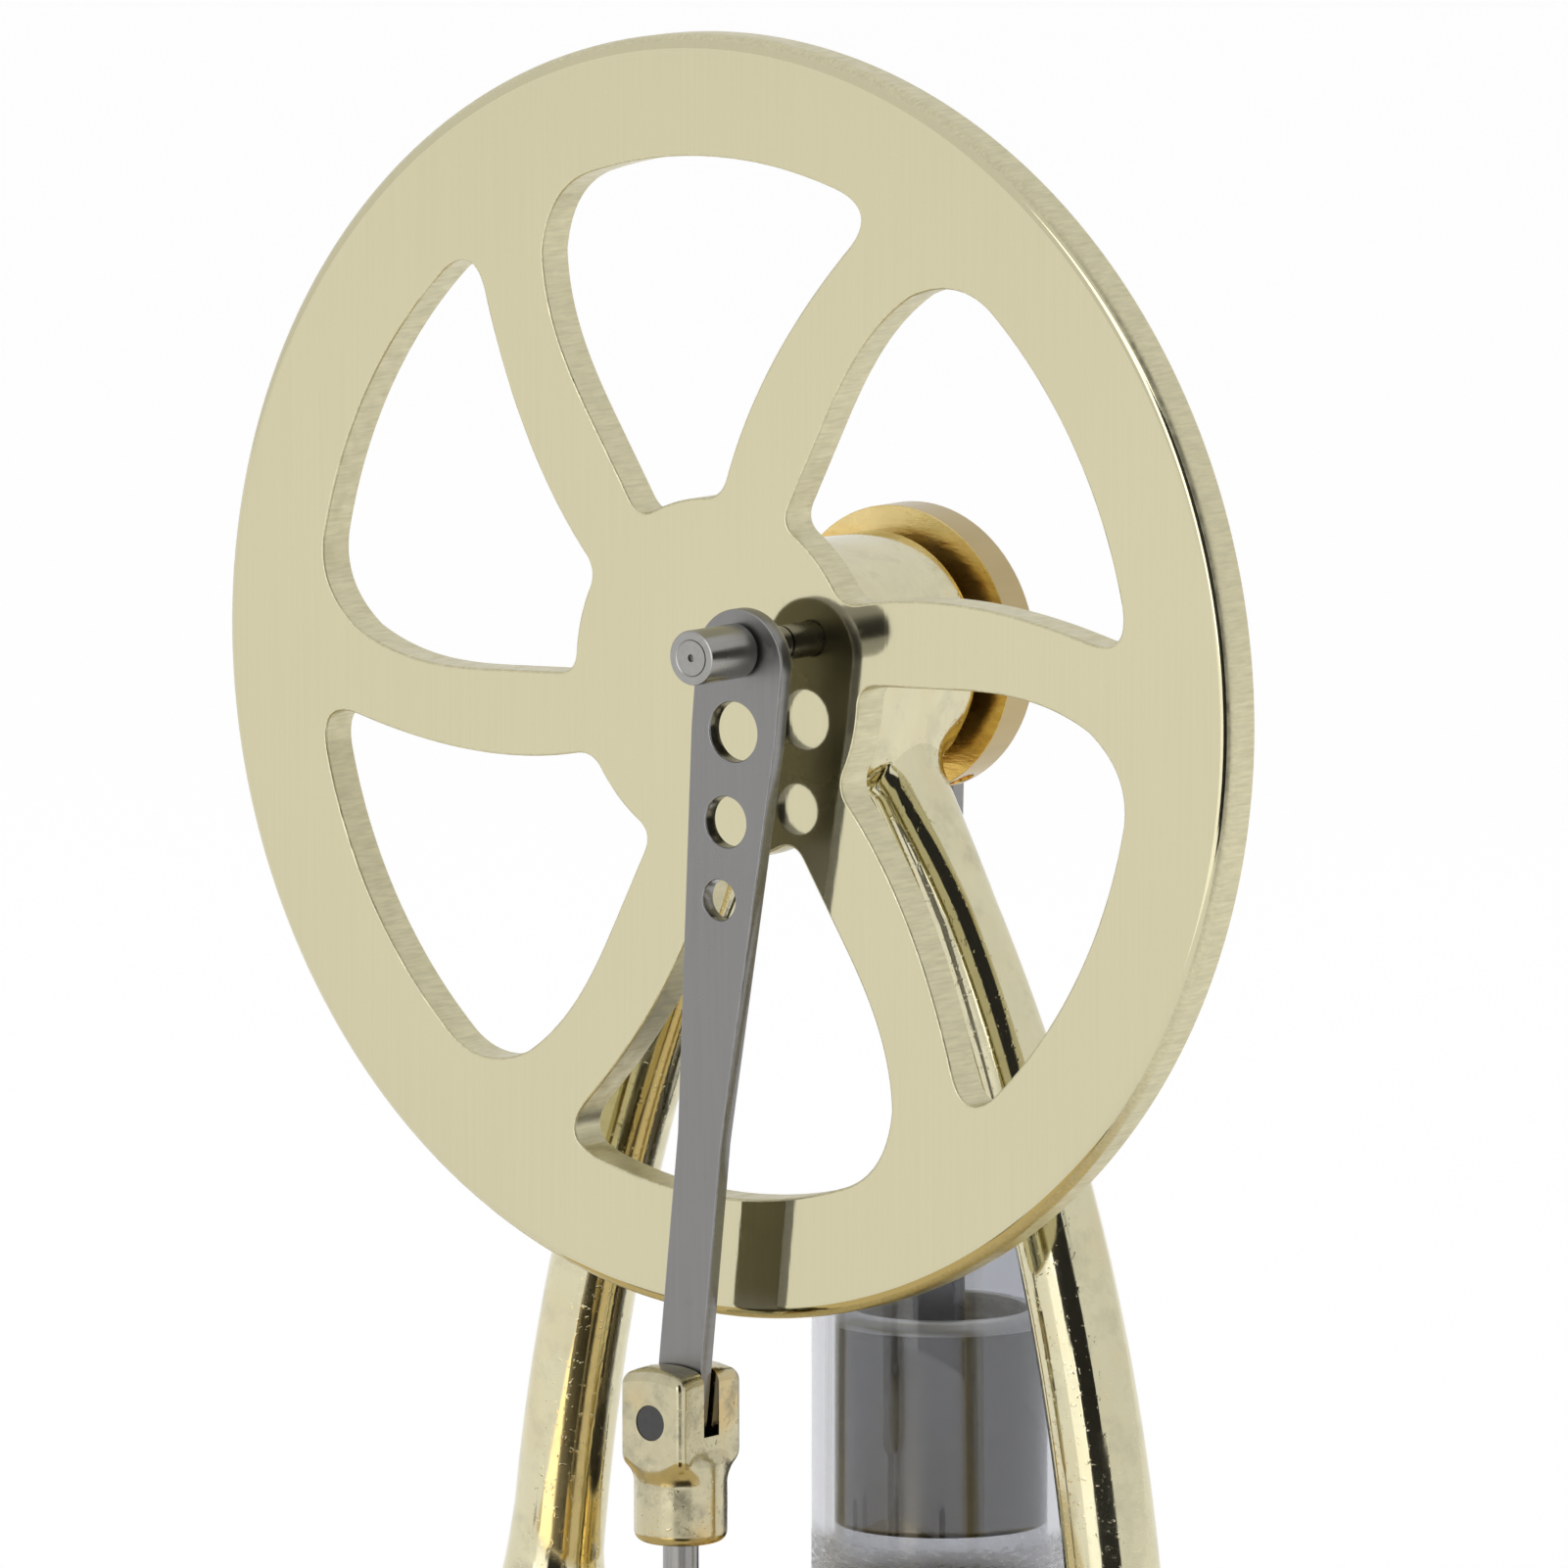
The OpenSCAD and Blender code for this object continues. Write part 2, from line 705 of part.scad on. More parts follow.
module base_screws() {
    color(steel) at_cyl() for (s = [-1, 1]) translate([s * base_screw_x, 0, 0]) difference() {
        union() {
            translate([0, 0, top_z0 + blind])
                cylinder(d = base_screw_d, h = plate_t - blind + base_t, $fn = small);
            translate([0, 0, top_z + base_t]) cylinder(d = base_head_d, h = base_head_h, $fn = small);
        }
        translate([0, 0, top_z + base_t + base_head_h / 2])
            cylinder(d = base_hex / cos(30), h = 2, $fn = 6);
    }
}

module cylinder_seal() {
    color(rubber) at_cyl() ring_z(glass_d / 2, port_d / 2 + 2, glass_z0 - seal_t, glass_z0);
}

module power_cylinder() {
    color(clear) at_cyl() ring_z(glass_d / 2, bore_d / 2, glass_z0, glass_top);
}

module piston() {
    color(dark) at_cyl() difference() {
        translate([0, 0, piston_low]) rotate_extrude($fn = fine)
            polygon([[0, 0], [piston_r - skirt_edge, 0], [piston_r, skirt_edge], [piston_r, piston_l - rim],
                [piston_r - rim, piston_l], [0, piston_l]]);
        translate([0, 0, piston_top - cup_depth]) cylinder(r = cup_r, h = 20, $fn = fine);
        translate([0, 0, piston_low - 1])
            cylinder(r = cup_r, h = piston_l - cup_depth - floor_t + 1, $fn = fine);
        translate([0, 0, piston_low]) cylinder(d = stud_d, h = piston_l, $fn = small);
    }
}

fork_gap = 1.3;
fork_t = 1.1;
fork_w = 3.8;
fork_base = 1;
fork_base_r = 3;
pan_d = 3.8;
pan_h = 1.2;
pan_slot = 0.5;

module piston_fork() {
    z0 = piston_top - cup_depth;
    color(brass) at_cyl() difference() {
        union() {
            translate([0, 0, z0]) cylinder(r = fork_base_r, h = fork_base, $fn = small);
            for (s = [-1, 1]) translate([0, s * (fork_gap + fork_t) / 2, 0]) {
                translate([-fork_w / 2, -fork_t / 2, z0]) cube([fork_w, fork_t, piston_pin_z - z0]);
                translate([0, 0, piston_pin_z]) bar(fork_w / 2, -fork_t / 2, fork_t / 2);
            }
        }
        translate([0, 0, piston_pin_z]) bar(piston_pin_r, -4, 4);
        translate([0, 0, z0 - 1]) cylinder(d = stud_d, h = 1 + fork_base, $fn = small);
    }
}

module fork_screw() {
    z0 = piston_top - cup_depth - floor_t;
    color(steel) at_cyl() difference() {
        union() {
            translate([0, 0, z0]) cylinder(d = stud_d, h = floor_t + fork_base - recess, $fn = small);
            translate([0, 0, z0 - pan_h]) cylinder(d = pan_d, h = pan_h, $fn = small);
        }
        translate([-pan_d, -pan_slot / 2, z0 - pan_h - 1]) cube([2 * pan_d, pan_slot, 1 + pan_h / 2]);
    }
}

module piston_pin() {
    color(steel) at_cyl() translate([0, 0, piston_pin_z])
        bar(piston_pin_r, -fork_gap / 2 - fork_t, fork_gap / 2 + fork_t, fine);
}

bottom_plate();
top_plate();
chamber_wall();
lower_seal();
upper_seal();
plate_screws();
plate_washers();
displacer_gland();
arch_stand();
arch_screws();
front_bearing_outer();
rear_bearing_outer();
cylinder_base();
base_screws();
cylinder_seal();
power_cylinder();
crankshaft();
flywheel();
front_spacer();
middle_spacer();
rear_spacer();
front_bearing_inner();
rear_bearing_inner();
crank_disc();
disc_screw();
front_ball_set();
rear_ball_set();
front_key();
rear_key();
clevis();
clevis_pin();
displacer_rod();
displacer();
displacer_washers();
displacer_nuts();
displacer_conrod();
displacer_crank_pin();
displacer_pin_collar();
piston();
piston_fork();
fork_screw();
piston_pin();
power_conrod();
power_crank_pin();
power_pin_collar();
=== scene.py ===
import math

import bmesh
import bpy
import numpy as np
from mathutils import Matrix, Vector


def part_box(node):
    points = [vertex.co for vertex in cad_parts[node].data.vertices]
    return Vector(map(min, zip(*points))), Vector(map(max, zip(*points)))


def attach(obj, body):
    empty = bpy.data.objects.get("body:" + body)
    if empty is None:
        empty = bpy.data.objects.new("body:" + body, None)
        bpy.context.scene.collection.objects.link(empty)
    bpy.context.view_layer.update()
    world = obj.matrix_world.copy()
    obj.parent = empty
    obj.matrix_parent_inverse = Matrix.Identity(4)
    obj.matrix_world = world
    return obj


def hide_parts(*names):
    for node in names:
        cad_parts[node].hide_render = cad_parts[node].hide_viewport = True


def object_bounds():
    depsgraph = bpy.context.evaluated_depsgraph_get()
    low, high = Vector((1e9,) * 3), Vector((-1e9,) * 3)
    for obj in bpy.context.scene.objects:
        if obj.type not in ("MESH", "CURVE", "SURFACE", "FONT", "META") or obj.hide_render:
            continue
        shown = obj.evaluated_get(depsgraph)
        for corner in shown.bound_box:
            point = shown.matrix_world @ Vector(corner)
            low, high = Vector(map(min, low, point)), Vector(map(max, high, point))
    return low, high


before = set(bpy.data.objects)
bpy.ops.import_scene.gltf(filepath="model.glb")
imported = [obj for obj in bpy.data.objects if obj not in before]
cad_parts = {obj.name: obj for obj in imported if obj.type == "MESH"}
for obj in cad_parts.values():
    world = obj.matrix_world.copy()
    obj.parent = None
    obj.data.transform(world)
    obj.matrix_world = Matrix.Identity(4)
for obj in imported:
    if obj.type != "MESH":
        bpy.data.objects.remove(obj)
CAD_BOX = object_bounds()

MM = 0.001


# ---------------------------------------------------------------- places, in millimetres
def box(node):
    """Lowest and highest corner of a CAD node in millimetres."""
    lo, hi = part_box(node)
    return np.array(lo) / MM, np.array(hi) / MM


WHEEL_LO, WHEEL_HI = box("flywheel")
WHEEL_R = (WHEEL_HI[0] - WHEEL_LO[0]) / 2
AXIS_Z = (WHEEL_LO[2] + WHEEL_HI[2]) / 2
WHEEL_Y0, WHEEL_Y1 = WHEEL_LO[1], WHEEL_HI[1]
TOP_Z = box("top_plate")[1][2]
ARCH_LO, ARCH_HI = box("arch_stand")
ARCH_Y = (ARCH_LO[1] + ARCH_HI[1]) / 2
GLASS_LO, GLASS_HI = box("power_cylinder")
CYL_Y = (GLASS_LO[1] + GLASS_HI[1]) / 2


# ---------------------------------------------------------------- camera
CAM_DISTANCE = 900
CAM_AZIMUTH, CAM_ELEVATION = 39.107, 7.780
AIM_AZIMUTH, AIM_PITCH = 38.860, 8.156
CAM_LENS, CAM_SENSOR = 366.1, 36


def linked(name, data):
    """A new object in the scene."""
    obj = bpy.data.objects.new(name, data)
    bpy.context.scene.collection.objects.link(obj)
    return obj


def direction(azimuth, elevation):
    """Unit vector from the object towards a viewer; azimuth 0 is -Y, 90 is +X."""
    a, e = math.radians(azimuth), math.radians(elevation)
    return Vector((math.sin(a) * math.cos(e), -math.cos(a) * math.cos(e), math.sin(e)))


def make_camera():
    data = bpy.data.cameras.new("camera")
    data.sensor_width = CAM_SENSOR
    data.lens = CAM_LENS
    data.clip_start, data.clip_end = 0.05, 50
    cam = linked("camera", data)
    hub = Vector((0, WHEEL_Y0, AXIS_Z)) * MM
    cam.location = hub + direction(CAM_AZIMUTH, CAM_ELEVATION) * CAM_DISTANCE * MM
    cam.rotation_mode = "QUATERNION"
    cam.rotation_quaternion = (-direction(AIM_AZIMUTH, AIM_PITCH)).to_track_quat("-Z", "Y")
    bpy.context.scene.camera = cam


# ---------------------------------------------------------------- materials
class Nodes:
    """A small helper around one node tree."""

    def __init__(self, tree):
        self.tree = tree

    def add(self, kind, inputs=None, **props):
        """A new node; an input is a number, a colour, a socket or a node's first output."""
        node = self.tree.nodes.new(kind)
        for key, value in props.items():
            setattr(node, key, value)
        for key, value in (inputs or {}).items():
            self.put(node.inputs[key], value)
        return node

    def put(self, socket, value):
        if isinstance(value, bpy.types.NodeSocket):
            self.tree.links.new(value, socket)
        elif isinstance(value, bpy.types.Node):
            self.tree.links.new(value.outputs[0], socket)
        else:
            socket.default_value = value

    def math(self, operation, a, b=0.0):
        return self.add("ShaderNodeMath", {0: a, 1: b}, operation=operation)

    def place(self):
        """The point being shaded, in metres in the object's own frame."""
        return self.add("ShaderNodeTexCoord").outputs["Object"]

    def noise(self, scale, stretch=(1, 1, 1), detail=3.0, rough=0.5):
        mapped = self.add("ShaderNodeMapping", {"Vector": self.place(), "Scale": stretch})
        noise = self.add("ShaderNodeTexNoise", {"Vector": mapped, "Scale": scale,
                                                "Detail": detail, "Roughness": rough})
        return noise.outputs["Fac"]

    def spread(self, value, lo, hi, from_lo=0.3, from_hi=0.7):
        """Maps a range of a value onto lo to hi and stops at both."""
        return self.add("ShaderNodeMapRange", {"Value": value, "From Min": from_lo,
                                               "From Max": from_hi, "To Min": lo, "To Max": hi})

    def tint(self, factor, a, b):
        """Mixes two colours; each is a tuple or another node's socket."""
        mix = self.add("ShaderNodeMix", data_type="RGBA")
        for key, value in (("Factor", factor), ("A", a), ("B", b)):
            self.put(mix.inputs[key], (*value, 1) if isinstance(value, tuple) else value)
        return mix.outputs["Result"]

    def bump(self, height, strength, distance, normal=None):
        node = self.add("ShaderNodeBump", {"Height": height, "Strength": strength,
                                           "Distance": distance})
        if normal is not None:
            self.put(node.inputs["Normal"], normal)
        return node.outputs["Normal"]


def new_material(name):
    material = bpy.data.materials.new(name)
    material.use_nodes = True
    nodes = Nodes(material.node_tree)
    return material, nodes, material.node_tree.nodes["Principled BSDF"]


def scaled(colour, k):
    return tuple(min(1.0, c * k) for c in colour)


def about(colour, vary):
    """The colour made darker and lighter by the same part."""
    return scaled(colour, 1 - vary), scaled(colour, 1 + vary)


SMUDGE = (0.34, 0.32, 0.24)
GOLDEN = (0.62, 0.44, 0.18)
CLOUD_SCALE, SPOT_SCALE, PIT_SCALE, SMUDGE_SCALE, GOLDEN_SCALE = 90, 900, 3400, 520, 230


def metal(name, colour, rough, grain=(1, 1, 1), grain_scale=2500, grain_bump=0.02, wave=0.0,
          wave_scale=180, vary=0.05, dirt=0.0, rough_vary=0.35, pits=0.0, smudge=0.0, warm=0.0):
    """Metal whose grain runs along the axis with the smallest stretch.

    grain_bump, wave and pits are depths in millimetres. dirt adds rough spots, smudge grey marks
    and warm golden patches."""
    material, n, shader = new_material(name)
    grain_value = n.noise(grain_scale, grain, 4)
    cloud = n.noise(CLOUD_SCALE, detail=4)
    both = n.math("ADD", n.math("MULTIPLY", grain_value, 0.6), n.math("MULTIPLY", cloud, 0.4))
    shade = n.tint(n.spread(both, 0, 1), *about(colour, vary))
    roughness = n.spread(cloud, rough * (1 - rough_vary), rough * (1 + rough_vary))
    if warm:
        patches = n.spread(n.noise(GOLDEN_SCALE, detail=3), 0, warm, 0.50, 0.66)
        shade = n.tint(patches, shade, GOLDEN)
    if smudge:
        marks = n.spread(n.noise(SMUDGE_SCALE, detail=6, rough=0.65), 0, smudge, 0.50, 0.72)
        shade = n.tint(marks, shade, SMUDGE)
        roughness = n.math("ADD", roughness, n.math("MULTIPLY", marks, 0.25))
    n.put(shader.inputs["Base Color"], shade)
    n.put(shader.inputs["Metallic"], 1.0)
    if dirt:
        spots = n.spread(n.noise(SPOT_SCALE, detail=2), 0, dirt, 0.66, 0.74)
        roughness = n.math("ADD", roughness, spots)
    n.put(shader.inputs["Roughness"], roughness)
    normal = n.bump(grain_value, 1.0, grain_bump * MM)
    if wave:
        normal = n.bump(n.noise(wave_scale, detail=1), 1.0, wave * MM, normal)
    if pits:
        holes = n.spread(n.noise(PIT_SCALE, detail=1), 0, 1, 0.64, 0.76)
        normal = n.bump(holes, 1.0, pits * MM, normal)
    n.put(shader.inputs["Normal"], normal)
    return material


def stamped(name, colour):
    """Cut wall of a stamped plate: short grooves along the thickness, and shiny burrs."""
    material, n, shader = new_material(name)
    grooves = n.noise(5200, (1, 0.10, 1), 5, 0.6)
    chips = n.noise(1400, (1, 0.8, 1), 3)
    dark, light = scaled(colour, 0.86), scaled(colour, 1.08)
    n.put(shader.inputs["Base Color"], n.tint(n.spread(grooves, 0, 1), dark, light))
    n.put(shader.inputs["Metallic"], 1.0)
    n.put(shader.inputs["Roughness"], n.spread(chips, 0.30, 0.46))
    fine = n.bump(grooves, 1.0, 0.007 * MM)
    n.put(shader.inputs["Normal"], n.bump(chips, 1.0, 0.008 * MM, fine))
    return material


def turned(name, colour, rough, pitch, centre, axis="Z", depth=0.004, vary=0.05, metallic=1.0,
           tool_lines=0.0):
    """Lathe-turned metal: fine rings about an axis through centre (millimetres)."""
    material, n, shader = new_material(name)
    flat = (1, 1, 0) if axis == "Z" else (1, 0, 1)
    shift = tuple(-c * MM * f for c, f in zip(centre, flat))
    mapped = n.add("ShaderNodeMapping", {"Vector": n.place(), "Scale": flat, "Location": shift})
    radius = n.add("ShaderNodeVectorMath", {0: mapped}, operation="LENGTH").outputs["Value"]
    wobble = n.math("MULTIPLY", n.noise(400, detail=2), 0.35)
    turns = n.math("MULTIPLY", radius, 2 * math.pi / (pitch * MM))
    rings = n.math("SINE", n.math("ADD", turns, wobble))
    fine = n.noise(2600, detail=4)
    amount = n.math("ADD", n.math("MULTIPLY", rings, 0.22), fine)
    if tool_lines:
        lines = n.spread(n.noise(500, (0.25, 0.25, 6), 3), -tool_lines, tool_lines)
        amount = n.math("ADD", amount, lines)
    shade = n.tint(n.spread(amount, 0, 1, 0.2, 0.8), *about(colour, vary))
    n.put(shader.inputs["Base Color"], shade)
    n.put(shader.inputs["Metallic"], metallic)
    n.put(shader.inputs["Roughness"], n.spread(fine, rough * 0.75, rough * 1.25))
    n.put(shader.inputs["Normal"], n.bump(amount, 1.0, depth * MM))
    return material


# Painted shade: a streaked dark patch on the crank disc face beside the housing.
PAINTED_SHADE = (0.045, 0.022, 0.006)
PAINTED_SHADE_AT, PAINTED_SHADE_R = (5.8, 0, AXIS_Z + 2.4), 4.8
# Painted highlight: the crank disc face turns paler above this height.
HIGHLIGHT_BRONZE = (0.84, 0.66, 0.31)
HIGHLIGHT_ABOVE, HIGHLIGHT_FADE = AXIS_Z + 6.1, 2.4


def bronze_with_painted_light(name, colour):
    """Bronze with coarse facing marks, painted highlight on top, streaked painted shade on one
    side.
    """
    material, n, shader = new_material(name)
    place = n.place()
    centre = tuple(v * MM for v in PAINTED_SHADE_AT)
    away = n.add("ShaderNodeVectorMath", {0: place, 1: centre}, operation="DISTANCE")
    streaks = n.noise(1100, (0.5, 1, 2.2), 5, 0.6)
    patches = n.noise(260, detail=4)
    # Painted shade: where the dark patch lies, strongest near its centre and broken into streaks.
    inside = n.spread(away.outputs["Value"], 1, 0, PAINTED_SHADE_R * 0.35 * MM, PAINTED_SHADE_R * 1.15 * MM)
    broken = n.math("ADD", streaks, n.math("MULTIPLY", patches, 0.5))
    shade_mask = n.math("MULTIPLY", inside, n.spread(broken, 0.45, 1.35, 0.55, 0.85))
    shade_mask = n.add("ShaderNodeClamp", {"Value": shade_mask})
    shade = n.tint(n.spread(streaks, 0, 1), scaled(colour, 0.80), scaled(colour, 1.18))
    # Painted highlight: paler towards the top of the disc.
    height = n.add("ShaderNodeSeparateXYZ", {"Vector": place}).outputs["Z"]
    level = n.math("ADD", height, n.math("MULTIPLY", streaks, HIGHLIGHT_FADE * MM))
    upper = n.spread(level, 0, 1, HIGHLIGHT_ABOVE * MM, (HIGHLIGHT_ABOVE + HIGHLIGHT_FADE) * MM)
    shade = n.tint(upper, shade, HIGHLIGHT_BRONZE)
    # Painted shade laid over the colour last.
    n.put(shader.inputs["Base Color"], n.tint(shade_mask, shade, PAINTED_SHADE))
    n.put(shader.inputs["Metallic"], 1.0)
    n.put(shader.inputs["Roughness"], n.spread(patches, 0.22, 0.34))
    n.put(shader.inputs["Normal"], n.bump(streaks, 1.0, 0.035 * MM))
    return material


SCUFF_FADE = 0.9


def clear(name, colour, ior, streak, scuff_below=None):
    """Clear glass or acrylic with faint drawn streaks; scuffed below a height in millimetres."""
    material, n, shader = new_material(name)
    streaks = n.noise(700, (1, 1, 0.05), 3)
    n.put(shader.inputs["Base Color"], (*colour, 1))
    n.put(shader.inputs["Transmission Weight"], 1.0)
    n.put(shader.inputs["IOR"], ior)
    roughness = n.spread(streaks, 0.008, 0.03)
    if scuff_below:
        height = n.add("ShaderNodeSeparateXYZ", {"Vector": n.place()}).outputs["Z"]
        low = n.spread(height, 1, 0, (scuff_below - SCUFF_FADE) * MM, scuff_below * MM)
        scratches = n.spread(n.noise(1500, (1, 1, 3), 4), 0.12, 0.42)
        roughness = n.math("ADD", roughness, n.math("MULTIPLY", low, scratches))
    n.put(shader.inputs["Roughness"], roughness)
    n.put(shader.inputs["Normal"], n.bump(streaks, 1.0, streak * MM))
    return material


def soft(name, colour, rough, scale, depth, vary=0.06, sheen=0.0):
    """Rubber or foam: a fine open grain."""
    material, n, shader = new_material(name)
    voronoi = n.add("ShaderNodeTexVoronoi", {"Vector": n.place(), "Scale": scale})
    cells = voronoi.outputs["Distance"]
    cloud = n.noise(scale * 0.2, detail=4)
    n.put(shader.inputs["Base Color"], n.tint(cloud, *about(colour, vary)))
    n.put(shader.inputs["Roughness"], n.spread(cells, rough * 0.9, min(1, rough * 1.1), 0, 1))
    n.put(shader.inputs["Sheen Weight"], sheen)
    n.put(shader.inputs["Normal"], n.bump(cells, 0.7, depth * MM))
    return material


PALE_BRASS = (0.622, 0.580, 0.390)
WARM_BRASS = (0.80, 0.66, 0.34)
BRONZE = (0.98, 0.60, 0.17)
STEEL = (0.245, 0.242, 0.238)
BRIGHT = (0.50, 0.50, 0.51)
GOLD_ANODISED = (0.82, 0.66, 0.36)
PLATE_CENTRE, TUBE_CENTRE, SHAFT_CENTRE = (0, 0, 0), (0, CYL_Y, 0), (0, 0, AXIS_Z)
SCUFF_TOP = 36.9

mat = {
    "wheel": metal("wheel_face", PALE_BRASS, 0.07, grain=(1, 1, 0.015), grain_scale=5000,
                   grain_bump=0.0012, wave=0.004, wave_scale=60, vary=0.022, dirt=0.06),
    "wheel_wall": stamped("wheel_wall", scaled(PALE_BRASS, 1.05)),
    "leg": metal("cast_leg", (0.685, 0.642, 0.44), 0.085, grain=(1, 1, 0.05), grain_scale=900,
                 grain_bump=0.002, wave=0.010, wave_scale=420, dirt=0.10, pits=0.0065,
                 smudge=0.30, warm=0.12),
    "cast": metal("cast_gold", (0.55, 0.502, 0.335), 0.15, grain_scale=1500, grain_bump=0.006,
                  wave=0.04, wave_scale=420, vary=0.08, dirt=0.18, pits=0.010, smudge=0.85,
                  warm=0.6),
    # Crank disc face, with painted shade and a painted highlight in its colour.
    "bronze": bronze_with_painted_light("bronze_painted_light_and_shade", BRONZE),
    "rim": metal("bronze_rim", (0.48, 0.38, 0.20), 0.30, grain=(0.3, 0.05, 0.3),
                 grain_scale=2600, grain_bump=0.010, vary=0.06),
    "conrod": metal("conrod_steel", STEEL, 0.34, grain=(1, 1, 0.03), grain_scale=4200,
                    grain_bump=0.004, dirt=0.08),
    # Cut walls of the links with their own grain; painted highlight: they are a lighter copy of
    # the steel.
    "conrod_edge_highlight": metal("conrod_edge_highlight", scaled(STEEL, 1.1), 0.30, grain=(1, 0.2, 1),
                         grain_scale=3000, grain_bump=0.010, vary=0.10),
    "bright": metal("ground_steel", BRIGHT, 0.20, grain=(1, 1, 0.03), grain_scale=3500,
                    grain_bump=0.003),
    "rod": metal("rod_steel", (0.33, 0.33, 0.33), 0.20, grain=(1, 1, 0.04), grain_scale=3000,
                 grain_bump=0.006, vary=0.12),
    "collar": metal("collar_steel", (0.34, 0.335, 0.32), 0.27, grain=(1, 0.05, 1),
                    grain_scale=3200, grain_bump=0.006, vary=0.08, dirt=0.05),
    "dark": metal("dark_steel", (0.083, 0.082, 0.082), 0.32, grain_bump=0.006, vary=0.10,
                  dirt=0.1),
    "lip": metal("piston_lip", (0.66, 0.655, 0.63), 0.34, grain=(1, 1, 0.3), grain_scale=2600,
                 grain_bump=0.006, vary=0.08),
    "piston": metal("lapped_piston", (0.315, 0.31, 0.295), 0.26, grain=(1, 1, 0.02),
                    grain_scale=2600, grain_bump=0.003, vary=0.04, rough_vary=0.05),
    # Painted light: the inside of the piston cup is pale and only partly metal so its shaded
    # hollow reads bright; the turned rings are real.
    "cup": turned("turned_cup_painted_light", (0.80, 0.79, 0.76), 0.38, 0.30, TUBE_CENTRE, depth=0.02,
                  vary=0.20, metallic=0.35, tool_lines=0.35),
    "plate": turned("turned_plate", GOLD_ANODISED, 0.17, 0.22, PLATE_CENTRE, depth=0.003,
                    vary=0.03),
    "base": turned("turned_base", WARM_BRASS, 0.16, 0.20, TUBE_CENTRE, depth=0.003),
    "gland": turned("turned_gland", WARM_BRASS, 0.14, 0.16, PLATE_CENTRE, depth=0.003),
    "spacer": turned("turned_spacer", WARM_BRASS, 0.16, 0.15, SHAFT_CENTRE, "Y", depth=0.003),
    "glass": clear("clear_glass", (0.60, 0.61, 0.64), 1.45, 0.0003, SCUFF_TOP),
    "acrylic": clear("clear_acrylic", (0.97, 0.99, 0.99), 1.40, 0.0004),
    "rubber": soft("seal_rubber", (0.028, 0.028, 0.030), 0.55, 2500, 0.01),
    "foam": soft("white_foam", (0.84, 0.84, 0.81), 0.75, 1400, 0.06, vary=0.05, sheen=0.2),
}


# ---------------------------------------------------------------- mesh helpers, in millimetres
LATHE_ANGLE, PLATE_ANGLE, DRILLED_ANGLE, BEVEL_ANGLE = 32, 30, 50, 40
WELD_WITHIN = 0.002


def mesh_from(name, bm):
    """A new mesh from a bmesh, which is freed."""
    mesh = bpy.data.meshes.new(name)
    bm.to_mesh(mesh)
    bm.free()
    return mesh


def weigh_normals(obj):
    weighted = obj.modifiers.new("weighted_normals", "WEIGHTED_NORMAL")
    weighted.keep_sharp = True


def finish_mesh(name, bm, materials, angle):
    """Turns a bmesh in millimetres into an object in metres. Edges over the angle stay sharp."""
    bmesh.ops.recalc_face_normals(bm, faces=bm.faces)
    for face in bm.faces:
        face.smooth = True
    for edge in bm.edges:
        if edge.calc_face_angle(0) > math.radians(angle):
            edge.smooth = False
    mesh = mesh_from(name, bm)
    mesh.transform(Matrix.Scale(MM, 4))
    for material in materials:
        mesh.materials.append(material)
    obj = linked(name, mesh)
    weigh_normals(obj)
    return obj


def publish(obj, body, nodes):
    """States the body and the replaced CAD nodes of a finished piece."""
    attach(obj, body)
    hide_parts(*nodes)
    return obj


def arc(centre, radius, start, end, steps):
    """Points along an arc, angles in degrees."""
    angles = np.radians(np.linspace(start, end, steps + 1))
    return np.stack([centre[0] + radius * np.cos(angles), centre[1] + radius * np.sin(angles)], 1)


def fillet(points, radii, steps=5):
    """Rounds every corner of a closed outline with a tangent curve of its own radius."""
    pts = [Vector(p) for p in points]
    out = []
    for i, (corner, radius) in enumerate(zip(pts, radii)):
        before, after = pts[i - 1] - corner, pts[(i + 1) % len(pts)] - corner
        cut = min(radius, before.length * 0.49, after.length * 0.49)
        a, b = corner + before.normalized() * cut, corner + after.normalized() * cut
        for k in range(steps + 1):
            t = k / steps
            out.append(tuple(a * (1 - t) ** 2 + corner * 2 * t * (1 - t) + b * t * t))
    return out


def lathe(name, profile, materials, centre=(0, 0, 0), steps=200, pick=None):
    """Turns a closed outline of (radius, height) points about the Z axis.

    pick gives a face's material from the radius and height of its middle."""
    bm = bmesh.new()
    rings = []
    for radius, height in profile:
        ring = []
        for k in range(steps):
            a = 2 * math.pi * k / steps
            place = Vector((radius * math.cos(a), radius * math.sin(a), height))
            ring.append(bm.verts.new(place + Vector(centre)))
        rings.append(ring)
    for i, ring in enumerate(rings):
        j = (i + 1) % len(rings)
        mid = [(here + there) / 2 for here, there in zip(profile[i], profile[j])]
        for k in range(steps):
            after = (k + 1) % steps
            face = bm.faces.new((ring[k], ring[after], rings[j][after], rings[j][k]))
            face.material_index = pick(*mid) if pick else 0
    return finish_mesh(name, bm, materials, LATHE_ANGLE)


def resample(points, step):
    """Adds points along the straight runs of a closed outline."""
    pts = np.asarray(points, float)
    out = []
    for a, b in zip(pts, np.roll(pts, -1, 0)):
        n = max(1, int(math.ceil(np.linalg.norm(b - a) / step)))
        out.extend(a + (b - a) * k / n for k in range(n))
    return np.array(out)


def moved_out(loop, distance):
    """Moves a closed counter-clockwise outline outwards along its own normals."""
    along = np.roll(loop, -1, 0) - np.roll(loop, 1, 0)
    normal = np.stack([along[:, 1], -along[:, 0]], 1)
    return loop + normal / np.linalg.norm(normal, axis=1)[:, None] * distance


